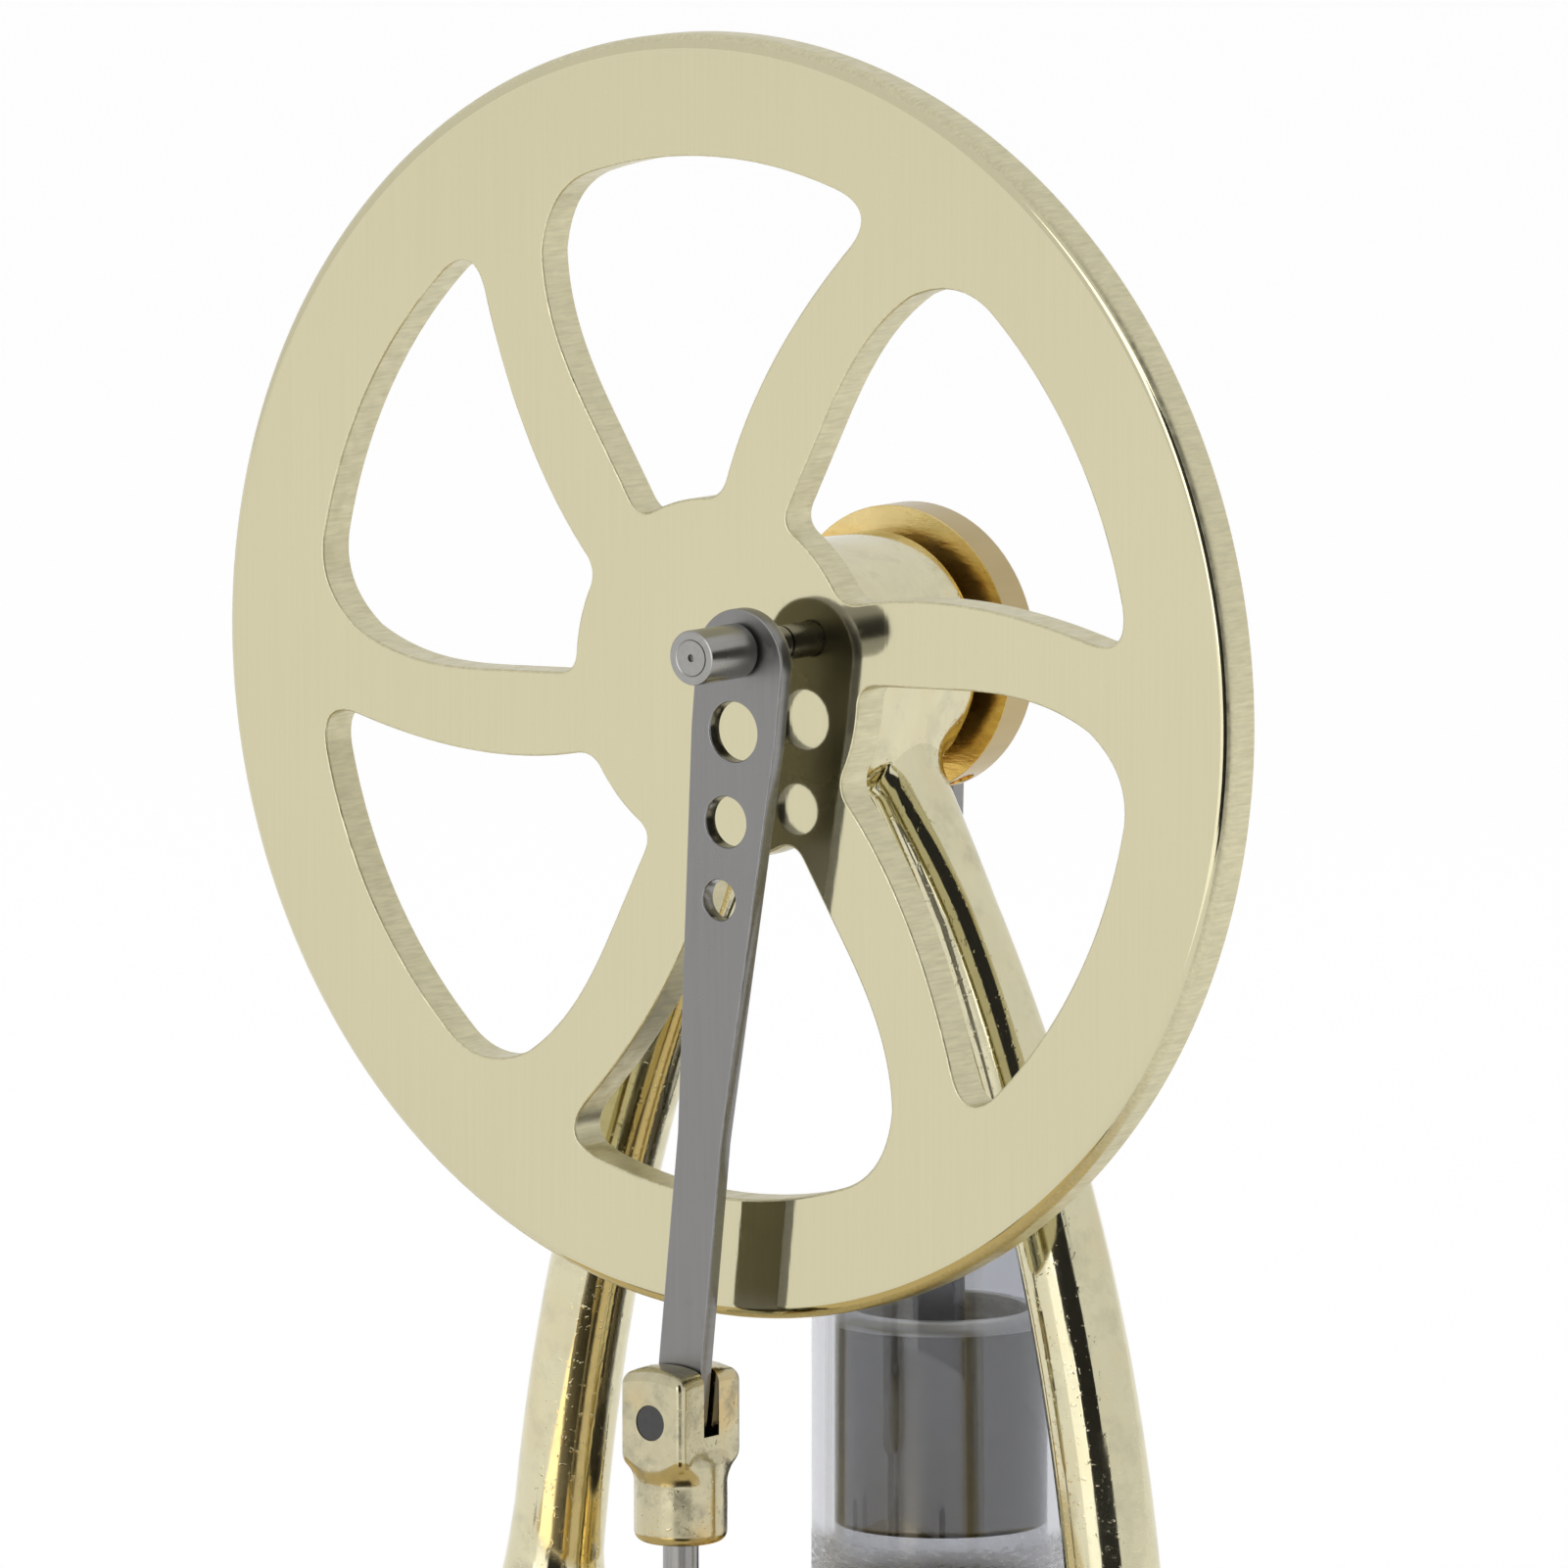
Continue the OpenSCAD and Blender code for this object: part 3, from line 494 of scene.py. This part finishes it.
def edge_steps(thickness, front, back, count):
    """(inset, depth) pairs across a plate's wall, with rounded corners of the two given radii."""
    out = [(front * (1 - math.sin(a)), front * (1 - math.cos(a)))
           for a in np.linspace(0, math.pi / 2, count + 1)]
    out += [(back * (1 - math.cos(a)), thickness - back * (1 - math.sin(a)))
            for a in np.linspace(0, math.pi / 2, count + 1)]
    return out


def plate(name, outer, holes, y0, outer_steps, hole_steps, materials, place=None):
    """Flat plate in the XZ plane from counter-clockwise outlines.

    Each wall follows its (inset, depth) steps."""
    bm = bmesh.new()
    caps = [[], []]
    for loop, steps, side in [(outer, outer_steps, -1)] + [(h, hole_steps, 1) for h in holes]:
        rings = []
        for inset, depth in steps:
            moved = moved_out(loop, side * inset)
            rings.append([bm.verts.new((x, y0 + depth, z)) for x, z in moved])
        for r0, r1 in zip(rings, rings[1:]):
            for k in range(len(r0)):
                face = bm.faces.new((r0[k], r0[k - 1], r1[k - 1], r1[k]))
                face.material_index = 1
        for cap, ring in zip(caps, (rings[0], rings[-1])):
            cap += [bm.edges.get((ring[k], ring[k - 1])) for k in range(len(ring))]
    for cap in caps:
        bmesh.ops.triangle_fill(bm, edges=cap, use_beauty=True)
        for edge in cap:
            edge.smooth = False
    if place is not None:
        bm.transform(place)
    return finish_mesh(name, bm, materials, PLATE_ANGLE)


def smooth_min(a, b, k):
    """Both fields joined, with a fillet of about k where they meet."""
    h = np.clip(0.5 + 0.5 * (b - a) / k, 0, 1)
    return b * (1 - h) + a * h - k * h * (1 - h)


def smooth_max(a, b, k):
    """The part in both fields, with its corner softened by about k."""
    return -smooth_min(-a, -b, k)


def round_meet(a, b, edge):
    """Inside of both fields, with their meeting corner rounded."""
    q = np.stack([a + edge, b + edge])
    return np.minimum(q.max(0), 0) + np.linalg.norm(np.maximum(q, 0), axis=0) - edge


def evaluated_mesh(obj):
    """The mesh after modifiers; the helper object is removed."""
    graph = bpy.context.evaluated_depsgraph_get()
    mesh = bpy.data.meshes.new_from_object(obj.evaluated_get(graph))
    bpy.data.objects.remove(obj)
    return mesh


def settled(name, blocks, field, voxel, material, rounds, bores):
    """Remeshes overlapping closed blocks, lets every vertex settle on the field's zero surface,
    and cuts the bores: (start, end, radius) of round holes, or a closed block mesh."""
    bm = bmesh.new()
    for block in blocks:
        bm.from_mesh(block)
    rough = linked(name + "_blocks", mesh_from(name + "_blocks", bm))
    remesh = rough.modifiers.new("remesh", "REMESH")
    remesh.mode = "VOXEL"
    remesh.voxel_size = voxel
    out = evaluated_mesh(rough)
    co = np.empty(len(out.vertices) * 3)
    out.vertices.foreach_get("co", co)
    co = co.reshape(-1, 3)
    h = voxel * 0.1
    for _ in range(rounds):
        slope = np.stack([(field(co + e) - field(co - e)) / (2 * h) for e in np.eye(3) * h], 1)
        move = field(co) / np.maximum((slope ** 2).sum(1), 0.2)
        co -= slope * np.clip(move, -voxel, voxel)[:, None]
    out.vertices.foreach_set("co", co.ravel())
    for bore in bores:
        if isinstance(bore, tuple):
            start, end, radius = Vector(bore[0]), Vector(bore[1]), bore[2]
            turn = (end - start).to_track_quat("Z", "Y").to_matrix().to_4x4()
            bore = round_block(Matrix.Translation((start + end) / 2) @ turn, radius,
                               (end - start).length, segments=128)
        drill = linked("drill", bore)
        body = linked(name + "_drilled", out)
        cut = body.modifiers.new("cut", "BOOLEAN")
        cut.operation = "DIFFERENCE"
        cut.solver = "EXACT"
        cut.object = drill
        out = evaluated_mesh(body)
        bpy.data.objects.remove(drill)
    bm = bmesh.new()
    bm.from_mesh(out)
    return finish_mesh(name, bm, [material], DRILLED_ANGLE)


def block_mesh(create, **options):
    """A closed starting block for settled(), made by one of bmesh's create calls."""
    bm = bmesh.new()
    create(bm, **options)
    return mesh_from("block", bm)


def box_block(centre, size):
    """A closed box of the given three sizes."""
    place = Matrix.Translation(centre) @ Matrix.Diagonal((*size, 1))
    return block_mesh(bmesh.ops.create_cube, size=1, matrix=place)


def round_block(place, radius, depth, top_radius=None, segments=48):
    """A closed round bar along the Z axis of its place, tapered if a top radius is given."""
    return block_mesh(bmesh.ops.create_cone, cap_ends=True, segments=segments, matrix=place,
                      radius1=radius, radius2=top_radius or radius, depth=depth)


def shifted(x, y, z):
    return Matrix.Translation((x, y, z))


def dress(node, *materials, edge=0.08, segments=2):
    """Gives a CAD node its material and softly broken edges."""
    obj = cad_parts[node]
    obj.data.materials.clear()
    for material in materials:
        obj.data.materials.append(material)
    for face in obj.data.polygons:
        face.material_index = 0
    weld = obj.modifiers.new("weld", "WELD")
    weld.merge_threshold = WELD_WITHIN * MM
    bevel = obj.modifiers.new("bevel", "BEVEL")
    bevel.width = edge * MM
    bevel.segments = segments
    bevel.limit_method = "ANGLE"
    bevel.angle_limit = math.radians(BEVEL_ANGLE)
    weigh_normals(obj)
    return obj


# ---------------------------------------------------------------- flywheel
WINDOW_OUT, WINDOW_IN = 29.6, 10.3
CORNER_OUT, CORNER_IN = 3.0, 1.3
WINDOW_COUNT = 6
WHEEL_ROUND, WHEEL_BACK_ROUND = 0.8, 0.2


def blend3(a, b, c, t):
    """Curve through a, b and c at t = 0, 0.5 and 1."""
    return a * (1 - t) * (1 - 2 * t) + 4 * b * t * (1 - t) + c * t * (2 * t - 1)


def window_t(radius):
    """0 at a window's outer end, 1 at its inner end."""
    return (WINDOW_OUT - radius) / (WINDOW_OUT - WINDOW_IN)


def side_lo(radius):
    """Direction in degrees of a window's first side at a radius."""
    return blend3(6.8, 16.2, 28, window_t(radius))


def side_hi(radius):
    """Direction in degrees of a window's second side at a radius."""
    return 54.5 + 8.3 * (1 - (1 - min(1, window_t(radius) * 1.5)) ** 2.4)


def polar(radius, degrees):
    angle = math.radians(degrees)
    return np.array([radius * math.cos(angle), radius * math.sin(angle)])


def bend(a, b, c, steps=14):
    """Tangent curve from a to c with its corner at b."""
    return [a * (1 - t) ** 2 + b * 2 * t * (1 - t) + c * t * t
            for t in np.linspace(0, 1, steps + 1)]


def window_outline(turn):
    """One curved window, turned by degrees about the axis."""
    ro, ri = WINDOW_OUT, WINDOW_IN
    wo, wi = math.degrees(CORNER_OUT / ro), math.degrees(CORNER_IN / ri)
    near, far = ri + CORNER_IN, ro - CORNER_OUT
    pts = bend(polar(far, side_lo(far)), polar(ro, side_lo(ro)), polar(ro, side_lo(ro) + wo))
    pts += [polar(ro, a) for a in np.linspace(side_lo(ro) + wo, side_hi(ro) - wo, 40)[1:-1]]
    pts += bend(polar(ro, side_hi(ro) - wo), polar(ro, side_hi(ro)), polar(far, side_hi(far)))
    pts += [polar(r, side_hi(r)) for r in np.linspace(far, near, 48)[1:-1]]
    pts += bend(polar(near, side_hi(near)), polar(ri, side_hi(ri)), polar(ri, side_hi(ri) - wi))
    pts += [polar(ri, a) for a in np.linspace(side_hi(ri) - wi, side_lo(ri) + wi, 16)[1:-1]]
    pts += bend(polar(ri, side_lo(ri) + wi), polar(ri, side_lo(ri)), polar(near, side_lo(near)))
    pts += [polar(r, side_lo(r)) for r in np.linspace(near, far, 48)[1:-1]]
    a = math.radians(turn)
    turned_by = np.array([[math.cos(a), math.sin(a)], [-math.sin(a), math.cos(a)]])
    return np.array(pts) @ turned_by + np.array([0, AXIS_Z])


def make_flywheel():
    thickness = WHEEL_Y1 - WHEEL_Y0
    rim = arc((0, AXIS_Z), WHEEL_R, 0, 360, 480)[:-1]
    holes = [window_outline(360 / WINDOW_COUNT * k) for k in range(WINDOW_COUNT)]
    wheel = plate("flywheel_visual", rim, holes, WHEEL_Y0,
                  edge_steps(thickness, WHEEL_ROUND, WHEEL_BACK_ROUND, 8),
                  edge_steps(thickness, 0.14, 0.1, 3), [mat["wheel"], mat["wheel_wall"]])
    round_band = WHEEL_R - WHEEL_ROUND * 1.02
    for face in wheel.data.polygons:
        place = face.center / MM
        if face.material_index and place.y - WHEEL_Y0 < WHEEL_ROUND * 0.22:
            if math.hypot(place.x, place.z - AXIS_Z) > round_band:
                face.material_index = 0
    return publish(wheel, "crankshaft", ["flywheel"])


# ---------------------------------------------------------------- conrods
EYE_R, EYE_DROP, SHOULDER, WAIST, ROD_HALF = 3.1, 0.8, 4.9, 28.2, 1.6
WAIST_RUN, WAIST_WIDER = 2, 0.12
HOLE_DROP, HOLE_R = (4.7, 9.9, 14.4), (1.7, 1.45, 1.15)
PIN_GAP = 0.03


def make_conrod(name, node, body, pin_node, small_node):
    """A flat link with three lightening holes between a crank pin and a small end pin."""
    pin_lo, pin_hi = box(pin_node)
    small_lo, small_hi = box(small_node)
    lo, hi = box(node)
    thickness = hi[1] - lo[1]
    big = np.array([(pin_lo[0] + pin_hi[0]) / 2, (pin_lo[2] + pin_hi[2]) / 2])
    small = np.array([(small_lo[0] + small_hi[0]) / 2, (small_lo[2] + small_hi[2]) / 2])
    length = np.linalg.norm(big - small)
    tilt = math.atan2(big[0] - small[0], big[1] - small[1])
    top = length - EYE_DROP
    side = [(ROD_HALF, length - WAIST), (ROD_HALF + WAIST_WIDER, length - WAIST + WAIST_RUN),
            (EYE_R - 0.05, length - SHOULDER)]
    outline = np.concatenate([arc((0, top), EYE_R, 0, 180, 72), [(-x, z) for x, z in side[::-1]],
                              arc((0, 0), ROD_HALF, 180, 360, 40), side])
    holes = [arc((0, length - d), r, 0, 360, 72)[:-1] for d, r in zip(HOLE_DROP, HOLE_R)]
    for height, pin_width in ((length, pin_hi[0] - pin_lo[0]), (0, small_hi[0] - small_lo[0])):
        holes.append(arc((0, height), pin_width / 2 + PIN_GAP, 0, 360, 64)[:-1])
    place = shifted(small[0], 0, small[1]) @ Matrix.Rotation(tilt, 4, "Y")
    wall = edge_steps(thickness, 0.1, 0.06, 3)
    rod = plate(name, resample(outline, 0.3), holes, lo[1], wall, wall,
                [mat["conrod"], mat["conrod_edge_highlight"]], place)
    return publish(rod, body, [node])


# ---------------------------------------------------------------- arch stand
LEG_SPAN = 58.0
FOOT_X = 21.1
HOUSING_R = 7.0
BEARING_R, BEARING_SEAT, BEARING_STEP = 4.5, 2.7, 0.9
ROOT_END, ROOT_WIDER = 14.0, 0.42
FOOT_R, PAD_H, FLARE_H = 4.5, 2.0, 9.0
ARCH_HALF = (ARCH_HI[1] - ARCH_LO[1]) / 2
ARCH_DEPTH = AXIS_Z - TOP_Z


def leg_x(t):
    """Sideways place of a leg's middle line at t millimetres below the axis."""
    s = t / LEG_SPAN
    return 0.92 + 40.54 * s - 25.06 * s ** 2 + 4.58 * s ** 3


def leg_dx(t):
    """Slope of leg_x."""
    s = t / LEG_SPAN
    return (40.54 - 50.12 * s + 13.74 * s ** 2) / LEG_SPAN


def leg_r(t):
    """Radius of a leg at t millimetres below the axis."""
    s = t / LEG_SPAN
    return 1.706 + 2.265 * s - 1.271 * s ** 2


def leg_field(p):
    """Distance to the nearer leg's skin."""
    x, y, z = np.abs(p[:, 0]), p[:, 1] - ARCH_Y, p[:, 2]
    t = np.clip(AXIS_Z - z, 1, ARCH_DEPTH)
    for _ in range(4):
        cx, slope = leg_x(t), leg_dx(t)
        along = (x - cx) * slope + (AXIS_Z - t - z)
        t = np.clip(t + along / (1 + slope ** 2), 1, ARCH_DEPTH)
    y = y / (1 + ROOT_WIDER * np.clip((ROOT_END - t) / 8, 0, 1) ** 1.3)
    return np.sqrt((x - leg_x(t)) ** 2 + y ** 2 + (AXIS_Z - t - z) ** 2) - leg_r(t)


def arch_field(p):
    """Distance to the whole casting's skin: housing, legs and flared feet."""
    x, y, z = np.abs(p[:, 0]), p[:, 1] - ARCH_Y, p[:, 2]
    legs = leg_field(p)
    up = np.clip((z - TOP_Z - PAD_H) / FLARE_H, 0, 1)
    depth = np.clip(AXIS_Z - z, 1, ARCH_DEPTH)
    foot_r = leg_r(depth) + (FOOT_R - leg_r(depth)) * (1 - up) ** 2.4
    centre = FOOT_X + (leg_x(depth) - FOOT_X) * up
    foot = (np.hypot(x - centre, y) - foot_r) * 0.9
    foot = np.where(z > TOP_Z + PAD_H + FLARE_H, legs, foot)
    legs = smooth_max(np.minimum(legs, foot), TOP_Z - z, 0.3)
    radius = np.hypot(p[:, 0], z - AXIS_Z)
    housing = round_meet(radius - HOUSING_R, np.abs(y) - ARCH_HALF, 0.3)
    return np.maximum(smooth_min(housing, legs, 2.2), np.abs(y) - ARCH_HALF)


def make_arch():
    turn = Matrix.Rotation(math.radians(90), 4, "X")
    blocks = [round_block(shifted(0, ARCH_Y, AXIS_Z) @ turn, HOUSING_R, 2 * ARCH_HALF)]
    count, leg_start, overlap = 34, 4, 2.9
    for side in (-1, 1):
        for k in range(count):
            t = leg_start + (ARCH_DEPTH - leg_start) * (k + 0.5) / count
            lean = Matrix.Rotation(side * -math.atan(leg_dx(t)), 4, "Y")
            place = shifted(side * leg_x(t), ARCH_Y, AXIS_Z - t) @ lean
            blocks.append(round_block(place, leg_r(t), overlap))
        blocks.append(round_block(shifted(side * FOOT_X, ARCH_Y, TOP_Z + PAD_H / 2 + 0.5), FOOT_R,
                                  PAD_H + 1, top_radius=FOOT_R * 0.85))
    lo, hi = ARCH_LO[1], ARCH_HI[1]
    bores = [((0, lo - 1, AXIS_Z), (0, hi + 1, AXIS_Z), BEARING_R - BEARING_STEP),
             ((0, lo - 1, AXIS_Z), (0, lo + BEARING_SEAT, AXIS_Z), BEARING_R),
             ((0, hi - BEARING_SEAT, AXIS_Z), (0, hi + 1, AXIS_Z), BEARING_R)]
    arch = settled("arch_stand_visual", blocks, arch_field, 0.2, mat["leg"], 8, bores)
    return publish(arch, "frame", ["arch_stand"])


# ---------------------------------------------------------------- clevis
CLEVIS_LO, CLEVIS_HI = box("clevis")
CLEVIS_PIN_LO, CLEVIS_PIN_HI = box("clevis_pin")
CLEVIS_PIN_Z = (CLEVIS_PIN_LO[2] + CLEVIS_PIN_HI[2]) / 2
BLOCK_HALF_X, BLOCK_DROP, BLOCK_START = 2.25, 2.0, 4.0
BARREL_R = 2.65
SLOT_HALF, SLOT_UP, SLOT_R = 0.675, 0.6, 2.7
PIN_HOLE_R, ROD_HOLE_R, ROD_HOLE_DEPTH = 1.02, 1.04, 4.4


def clevis_field(p):
    """Distance to the clevis's skin: a rounded block on a short barrel."""
    half_y = (CLEVIS_HI[1] - CLEVIS_LO[1]) / 2
    low, block_low = CLEVIS_LO[2], CLEVIS_PIN_Z - BLOCK_DROP
    x, y, z = p[:, 0], p[:, 1], p[:, 2]
    radius = np.hypot(x, y)
    sides = round_meet(np.abs(x) - BLOCK_HALF_X, np.abs(y) - half_y, 0.42)
    cone = (radius - BARREL_R - (z - block_low + 1.1)) * 0.72
    crown = z - CLEVIS_HI[2] + 0.02 + 0.07 * x ** 2 + 0.02 * np.abs(y) ** 2
    block = smooth_max(round_meet(sides, crown, 0.62), cone, 0.35)
    ends = np.abs(z - (low + block_low) / 2) - (block_low - low) / 2
    return smooth_min(block, round_meet(radius - BARREL_R, ends, 0.6), 0.45)


def make_clevis():
    lo, hi = CLEVIS_LO, CLEVIS_HI
    low_block, slot_z = lo[2] + BLOCK_START, CLEVIS_PIN_Z + SLOT_UP
    blocks = [box_block((0, 0, (low_block + hi[2]) / 2),
                        (2 * BLOCK_HALF_X, hi[1] - lo[1], hi[2] - low_block)),
              round_block(shifted(0, 0, (lo[2] + low_block) / 2 + 0.2), BARREL_R,
                          low_block - lo[2] + 0.4)]
    bores = [((0, lo[1] - 1, CLEVIS_PIN_Z), (0, hi[1] + 1, CLEVIS_PIN_Z), PIN_HOLE_R),
             ((0, 0, lo[2] - 1), (0, 0, lo[2] + ROD_HOLE_DEPTH), ROD_HOLE_R),
             ((0, -SLOT_HALF, slot_z), (0, SLOT_HALF, slot_z), SLOT_R),
             box_block((0, 0, slot_z + SLOT_R / 2), (2 * SLOT_R, 2 * SLOT_HALF, SLOT_R))]
    clevis = settled("clevis_visual", blocks, clevis_field, 0.08, mat["cast"], 10, bores)
    return publish(clevis, "displacer", ["clevis"])


# ---------------------------------------------------------------- turned parts
GLASS_BORE_R = 6.2
CUP_R, CUP_DEPTH, CUP_FLOOR, PISTON_HOLE_R = 5.0, 8.0, 2.4, 1.0
LIP_TALL = 0.75
POCKET_R, POCKET_DEPTH, FOAM_HOLE_R = 5.0, 2.4, 1.03


def make_power_cylinder():
    r_out, r_in = (GLASS_HI[0] - GLASS_LO[0]) / 2, GLASS_BORE_R
    z0, z1 = GLASS_LO[2], GLASS_HI[2]
    profile = fillet([(r_in, z0), (r_out, z0), (r_out, z1), (r_in, z1)], [0.1, 0.15, 0.35, 0.3])
    tube = lathe("power_cylinder_visual", profile, [mat["glass"]], TUBE_CENTRE)
    return publish(tube, "frame", ["power_cylinder"])


def make_piston():
    lo, hi = box("piston")
    r = (hi[0] - lo[0]) / 2
    z0, z1 = lo[2], hi[2]
    floor = z1 - CUP_DEPTH
    under = floor - CUP_FLOOR
    points = [(PISTON_HOLE_R, under), (CUP_R, under), (CUP_R, z0), (r - 0.3, z0), (r, z0 + 0.3),
              (r, z1 - 0.55), (r - 0.5, z1), (CUP_R, z1), (CUP_R, floor), (PISTON_HOLE_R, floor)]
    profile = fillet(points, [0.02, 0.3, 0.15, 0.1, 0.1, 0.25, 0.25, 0.12, 0.5, 0.02], 4)

    def pick(radius, height):
        if radius < CUP_R + 0.05:
            return 1
        return 2 if height > z1 - LIP_TALL else 0

    piston = lathe("piston_visual", profile, [mat["piston"], mat["cup"], mat["lip"]], TUBE_CENTRE,
                   steps=180, pick=pick)
    return publish(piston, "piston", ["piston"])


def make_displacer():
    lo, hi = box("displacer")
    r, z0, z1 = (hi[0] - lo[0]) / 2, lo[2], hi[2]
    under, over = z0 + POCKET_DEPTH, z1 - POCKET_DEPTH
    points = [(FOAM_HOLE_R, under), (POCKET_R, under), (POCKET_R, z0), (r, z0), (r, z1),
              (POCKET_R, z1), (POCKET_R, over), (FOAM_HOLE_R, over)]
    profile = fillet(points, [0.05, 0.2, 0.4, 0.7, 0.7, 0.4, 0.2, 0.05])
    body = lathe("displacer_visual", profile, [mat["foam"]])
    return publish(body, "displacer", ["displacer"])


# ---------------------------------------------------------------- build
make_camera()
make_flywheel()
make_conrod("displacer_conrod_visual", "displacer_conrod", "displacer_conrod",
            "displacer_crank_pin", "clevis_pin")
make_conrod("power_conrod_visual", "power_conrod", "power_conrod",
            "power_crank_pin", "piston_pin")
make_arch()
make_clevis()
make_power_cylinder()
make_piston()
make_displacer()

dress("bottom_plate", mat["plate"], edge=0.4, segments=3)
dress("top_plate", mat["plate"], edge=0.25, segments=3)
dress("chamber_wall", mat["acrylic"], edge=0.15)
dress("cylinder_base", mat["base"], edge=0.25, segments=3)
dress("displacer_rod", mat["rod"])
dress("displacer_gland", mat["gland"], edge=0.15)
dress("displacer_nuts", mat["gland"], edge=0.1)
dress("piston_fork", mat["gland"], edge=0.12)
dress("clevis_pin", mat["dark"], edge=0.05)
dress("disc_screw", mat["dark"], edge=0.04)
for node in ("lower_seal", "upper_seal", "cylinder_seal"):
    dress(node, mat["rubber"], edge=0.1)
for node in ("displacer_crank_pin", "displacer_pin_collar", "power_crank_pin", "power_pin_collar"):
    dress(node, mat["collar"], edge=0.1)
for node in ("front_spacer", "middle_spacer", "rear_spacer"):
    dress(node, mat["spacer"])
for node in ("plate_screws", "plate_washers", "arch_screws", "base_screws",
             "front_bearing_outer", "rear_bearing_outer", "front_bearing_inner",
             "rear_bearing_inner", "front_ball_set", "rear_ball_set", "displacer_washers",
             "piston_pin", "fork_screw", "crankshaft", "front_key", "rear_key"):
    dress(node, mat["bright"])
disc = dress("crank_disc", mat["bronze"], mat["rim"], edge=0.12, segments=3)
DISC_LO, DISC_HI = box("crank_disc")
RIM_FROM = (DISC_HI[0] - DISC_LO[0]) / 2 * 0.985
for face in disc.data.polygons:
    place = face.center / MM
    if math.hypot(place.x, place.z - AXIS_Z) > RIM_FROM:
        face.material_index = 1


# ---------------------------------------------------------------- stage, in metres and degrees
WORLD_LEVEL, DARK_LEVEL = 0.86, 0.02
DARK_AZIMUTH, DARK_ACROSS, DARK_ACROSS_FADED = 43, 21, 25
DARK_UP, DARK_TALL, DARK_TALL_FADED = 0.53, 0.20, 0.24
FLOOR_SIZE, FLOOR_DROP, FLOOR_GLOW = 14.0, 0.0002, 0.22
LIGHT_TARGET = Vector((0, 10, 60)) * MM
CARD_STEPS = 12
CARD_LOW, CARD_BLACK, CARD_WHITE = 0.0005, (0.012, 0.012, 0.012), (0.8, 0.8, 0.8)
WHITE = (1, 1, 1, 1)


def matt(name, scale, detail, dark, light, glow, shine=0.5):
    """Dull material between two near tones, with an even glow."""
    material, n, shader = new_material(name)
    n.put(shader.inputs["Base Color"], n.tint(n.noise(scale, detail=detail), dark, light))
    n.put(shader.inputs["Roughness"], 0.9)
    n.put(shader.inputs["Specular IOR Level"], shine)
    n.put(shader.inputs["Emission Color"], WHITE)
    n.put(shader.inputs["Emission Strength"], glow)
    return material


def make_floor():
    """White floor just under the object."""
    bm = bmesh.new()
    bmesh.ops.create_grid(bm, x_segments=8, y_segments=8, size=FLOOR_SIZE / 2)
    mesh = mesh_from("floor", bm)
    mesh.materials.append(matt("floor", 3, 2, (0.93, 0.93, 0.93), (0.95, 0.95, 0.95),
                               FLOOR_GLOW, shine=0.0))
    floor = linked("floor", mesh)
    floor.location.z = CAD_BOX[0][2] - FLOOR_DROP


def make_world():
    """Even white surroundings with one dark patch above and in front of the object."""
    world = bpy.data.worlds.new("studio")
    bpy.context.scene.world = world
    world.use_nodes = True
    n = Nodes(world.node_tree)
    sky = world.node_tree.nodes["Background"]
    way = n.add("ShaderNodeTexCoord").outputs["Generated"]
    parts = n.add("ShaderNodeSeparateXYZ", {"Vector": way})
    azimuth = n.math("ARCTAN2", parts.outputs["X"], n.math("MULTIPLY", parts.outputs["Y"], -1.0))
    off_centre = n.math("ABSOLUTE", n.math("SUBTRACT", azimuth, math.radians(DARK_AZIMUTH)))
    across = n.spread(off_centre, 1.0, 0.0, math.radians(DARK_ACROSS),
                      math.radians(DARK_ACROSS_FADED))
    up = n.math("ABSOLUTE", n.math("SUBTRACT", parts.outputs["Z"], DARK_UP))
    tall = n.spread(up, 1.0, 0.0, DARK_TALL, DARK_TALL_FADED)
    dark = n.math("MULTIPLY", across, tall)
    n.put(sky.inputs["Strength"], n.spread(dark, WORLD_LEVEL, DARK_LEVEL, 0.0, 1.0))
    n.put(sky.inputs["Color"], WHITE)


def make_light(name, azimuth, elevation, distance, width, height, watts):
    """A rectangular lamp that faces the object."""
    data = bpy.data.lights.new(name, "AREA")
    data.shape = "RECTANGLE"
    data.size, data.size_y = width, height
    data.energy = watts
    light = linked(name, data)
    light.location = LIGHT_TARGET + direction(azimuth, elevation) * distance
    light.rotation_mode = "QUATERNION"
    light.rotation_quaternion = direction(azimuth, elevation).to_track_quat("Z", "Y")


def make_card(name, azimuth, half, out, low, high, colour, glow=0.0):
    """An upright curved card around the object, out from its middle; half is its half width in
    degrees. It shows only in reflections."""
    bm = bmesh.new()
    columns = []
    for k in range(CARD_STEPS + 1):
        place = direction(azimuth + half * (2 * k / CARD_STEPS - 1), 0) * out
        columns.append([bm.verts.new((place.x, place.y, z)) for z in (low, high)])
    for a, b in zip(columns, columns[1:]):
        bm.faces.new((a[0], b[0], b[1], a[1]))
    mesh = mesh_from(name, bm)
    mesh.materials.append(matt(name, 60, 3, scaled(colour, 0.8), colour, glow))
    card = linked(name, mesh)
    card.visible_camera = card.visible_diffuse = False
    card.visible_shadow = card.visible_transmission = False


make_floor()
make_world()
make_light("strip_left", 3, 8, 1.25, 0.62, 0.9, 2.7)
make_card("black_card", DARK_AZIMUTH, 23, 0.25, CARD_LOW, 0.07, CARD_BLACK)
make_card("leg_card", DARK_AZIMUTH, 23, 0.11, 0.056, 0.145, CARD_BLACK)
make_card("white_card", 4, 15, 0.25, CARD_LOW, 0.07, CARD_WHITE, glow=0.8)
bpy.context.scene.view_settings.view_transform = "Standard"
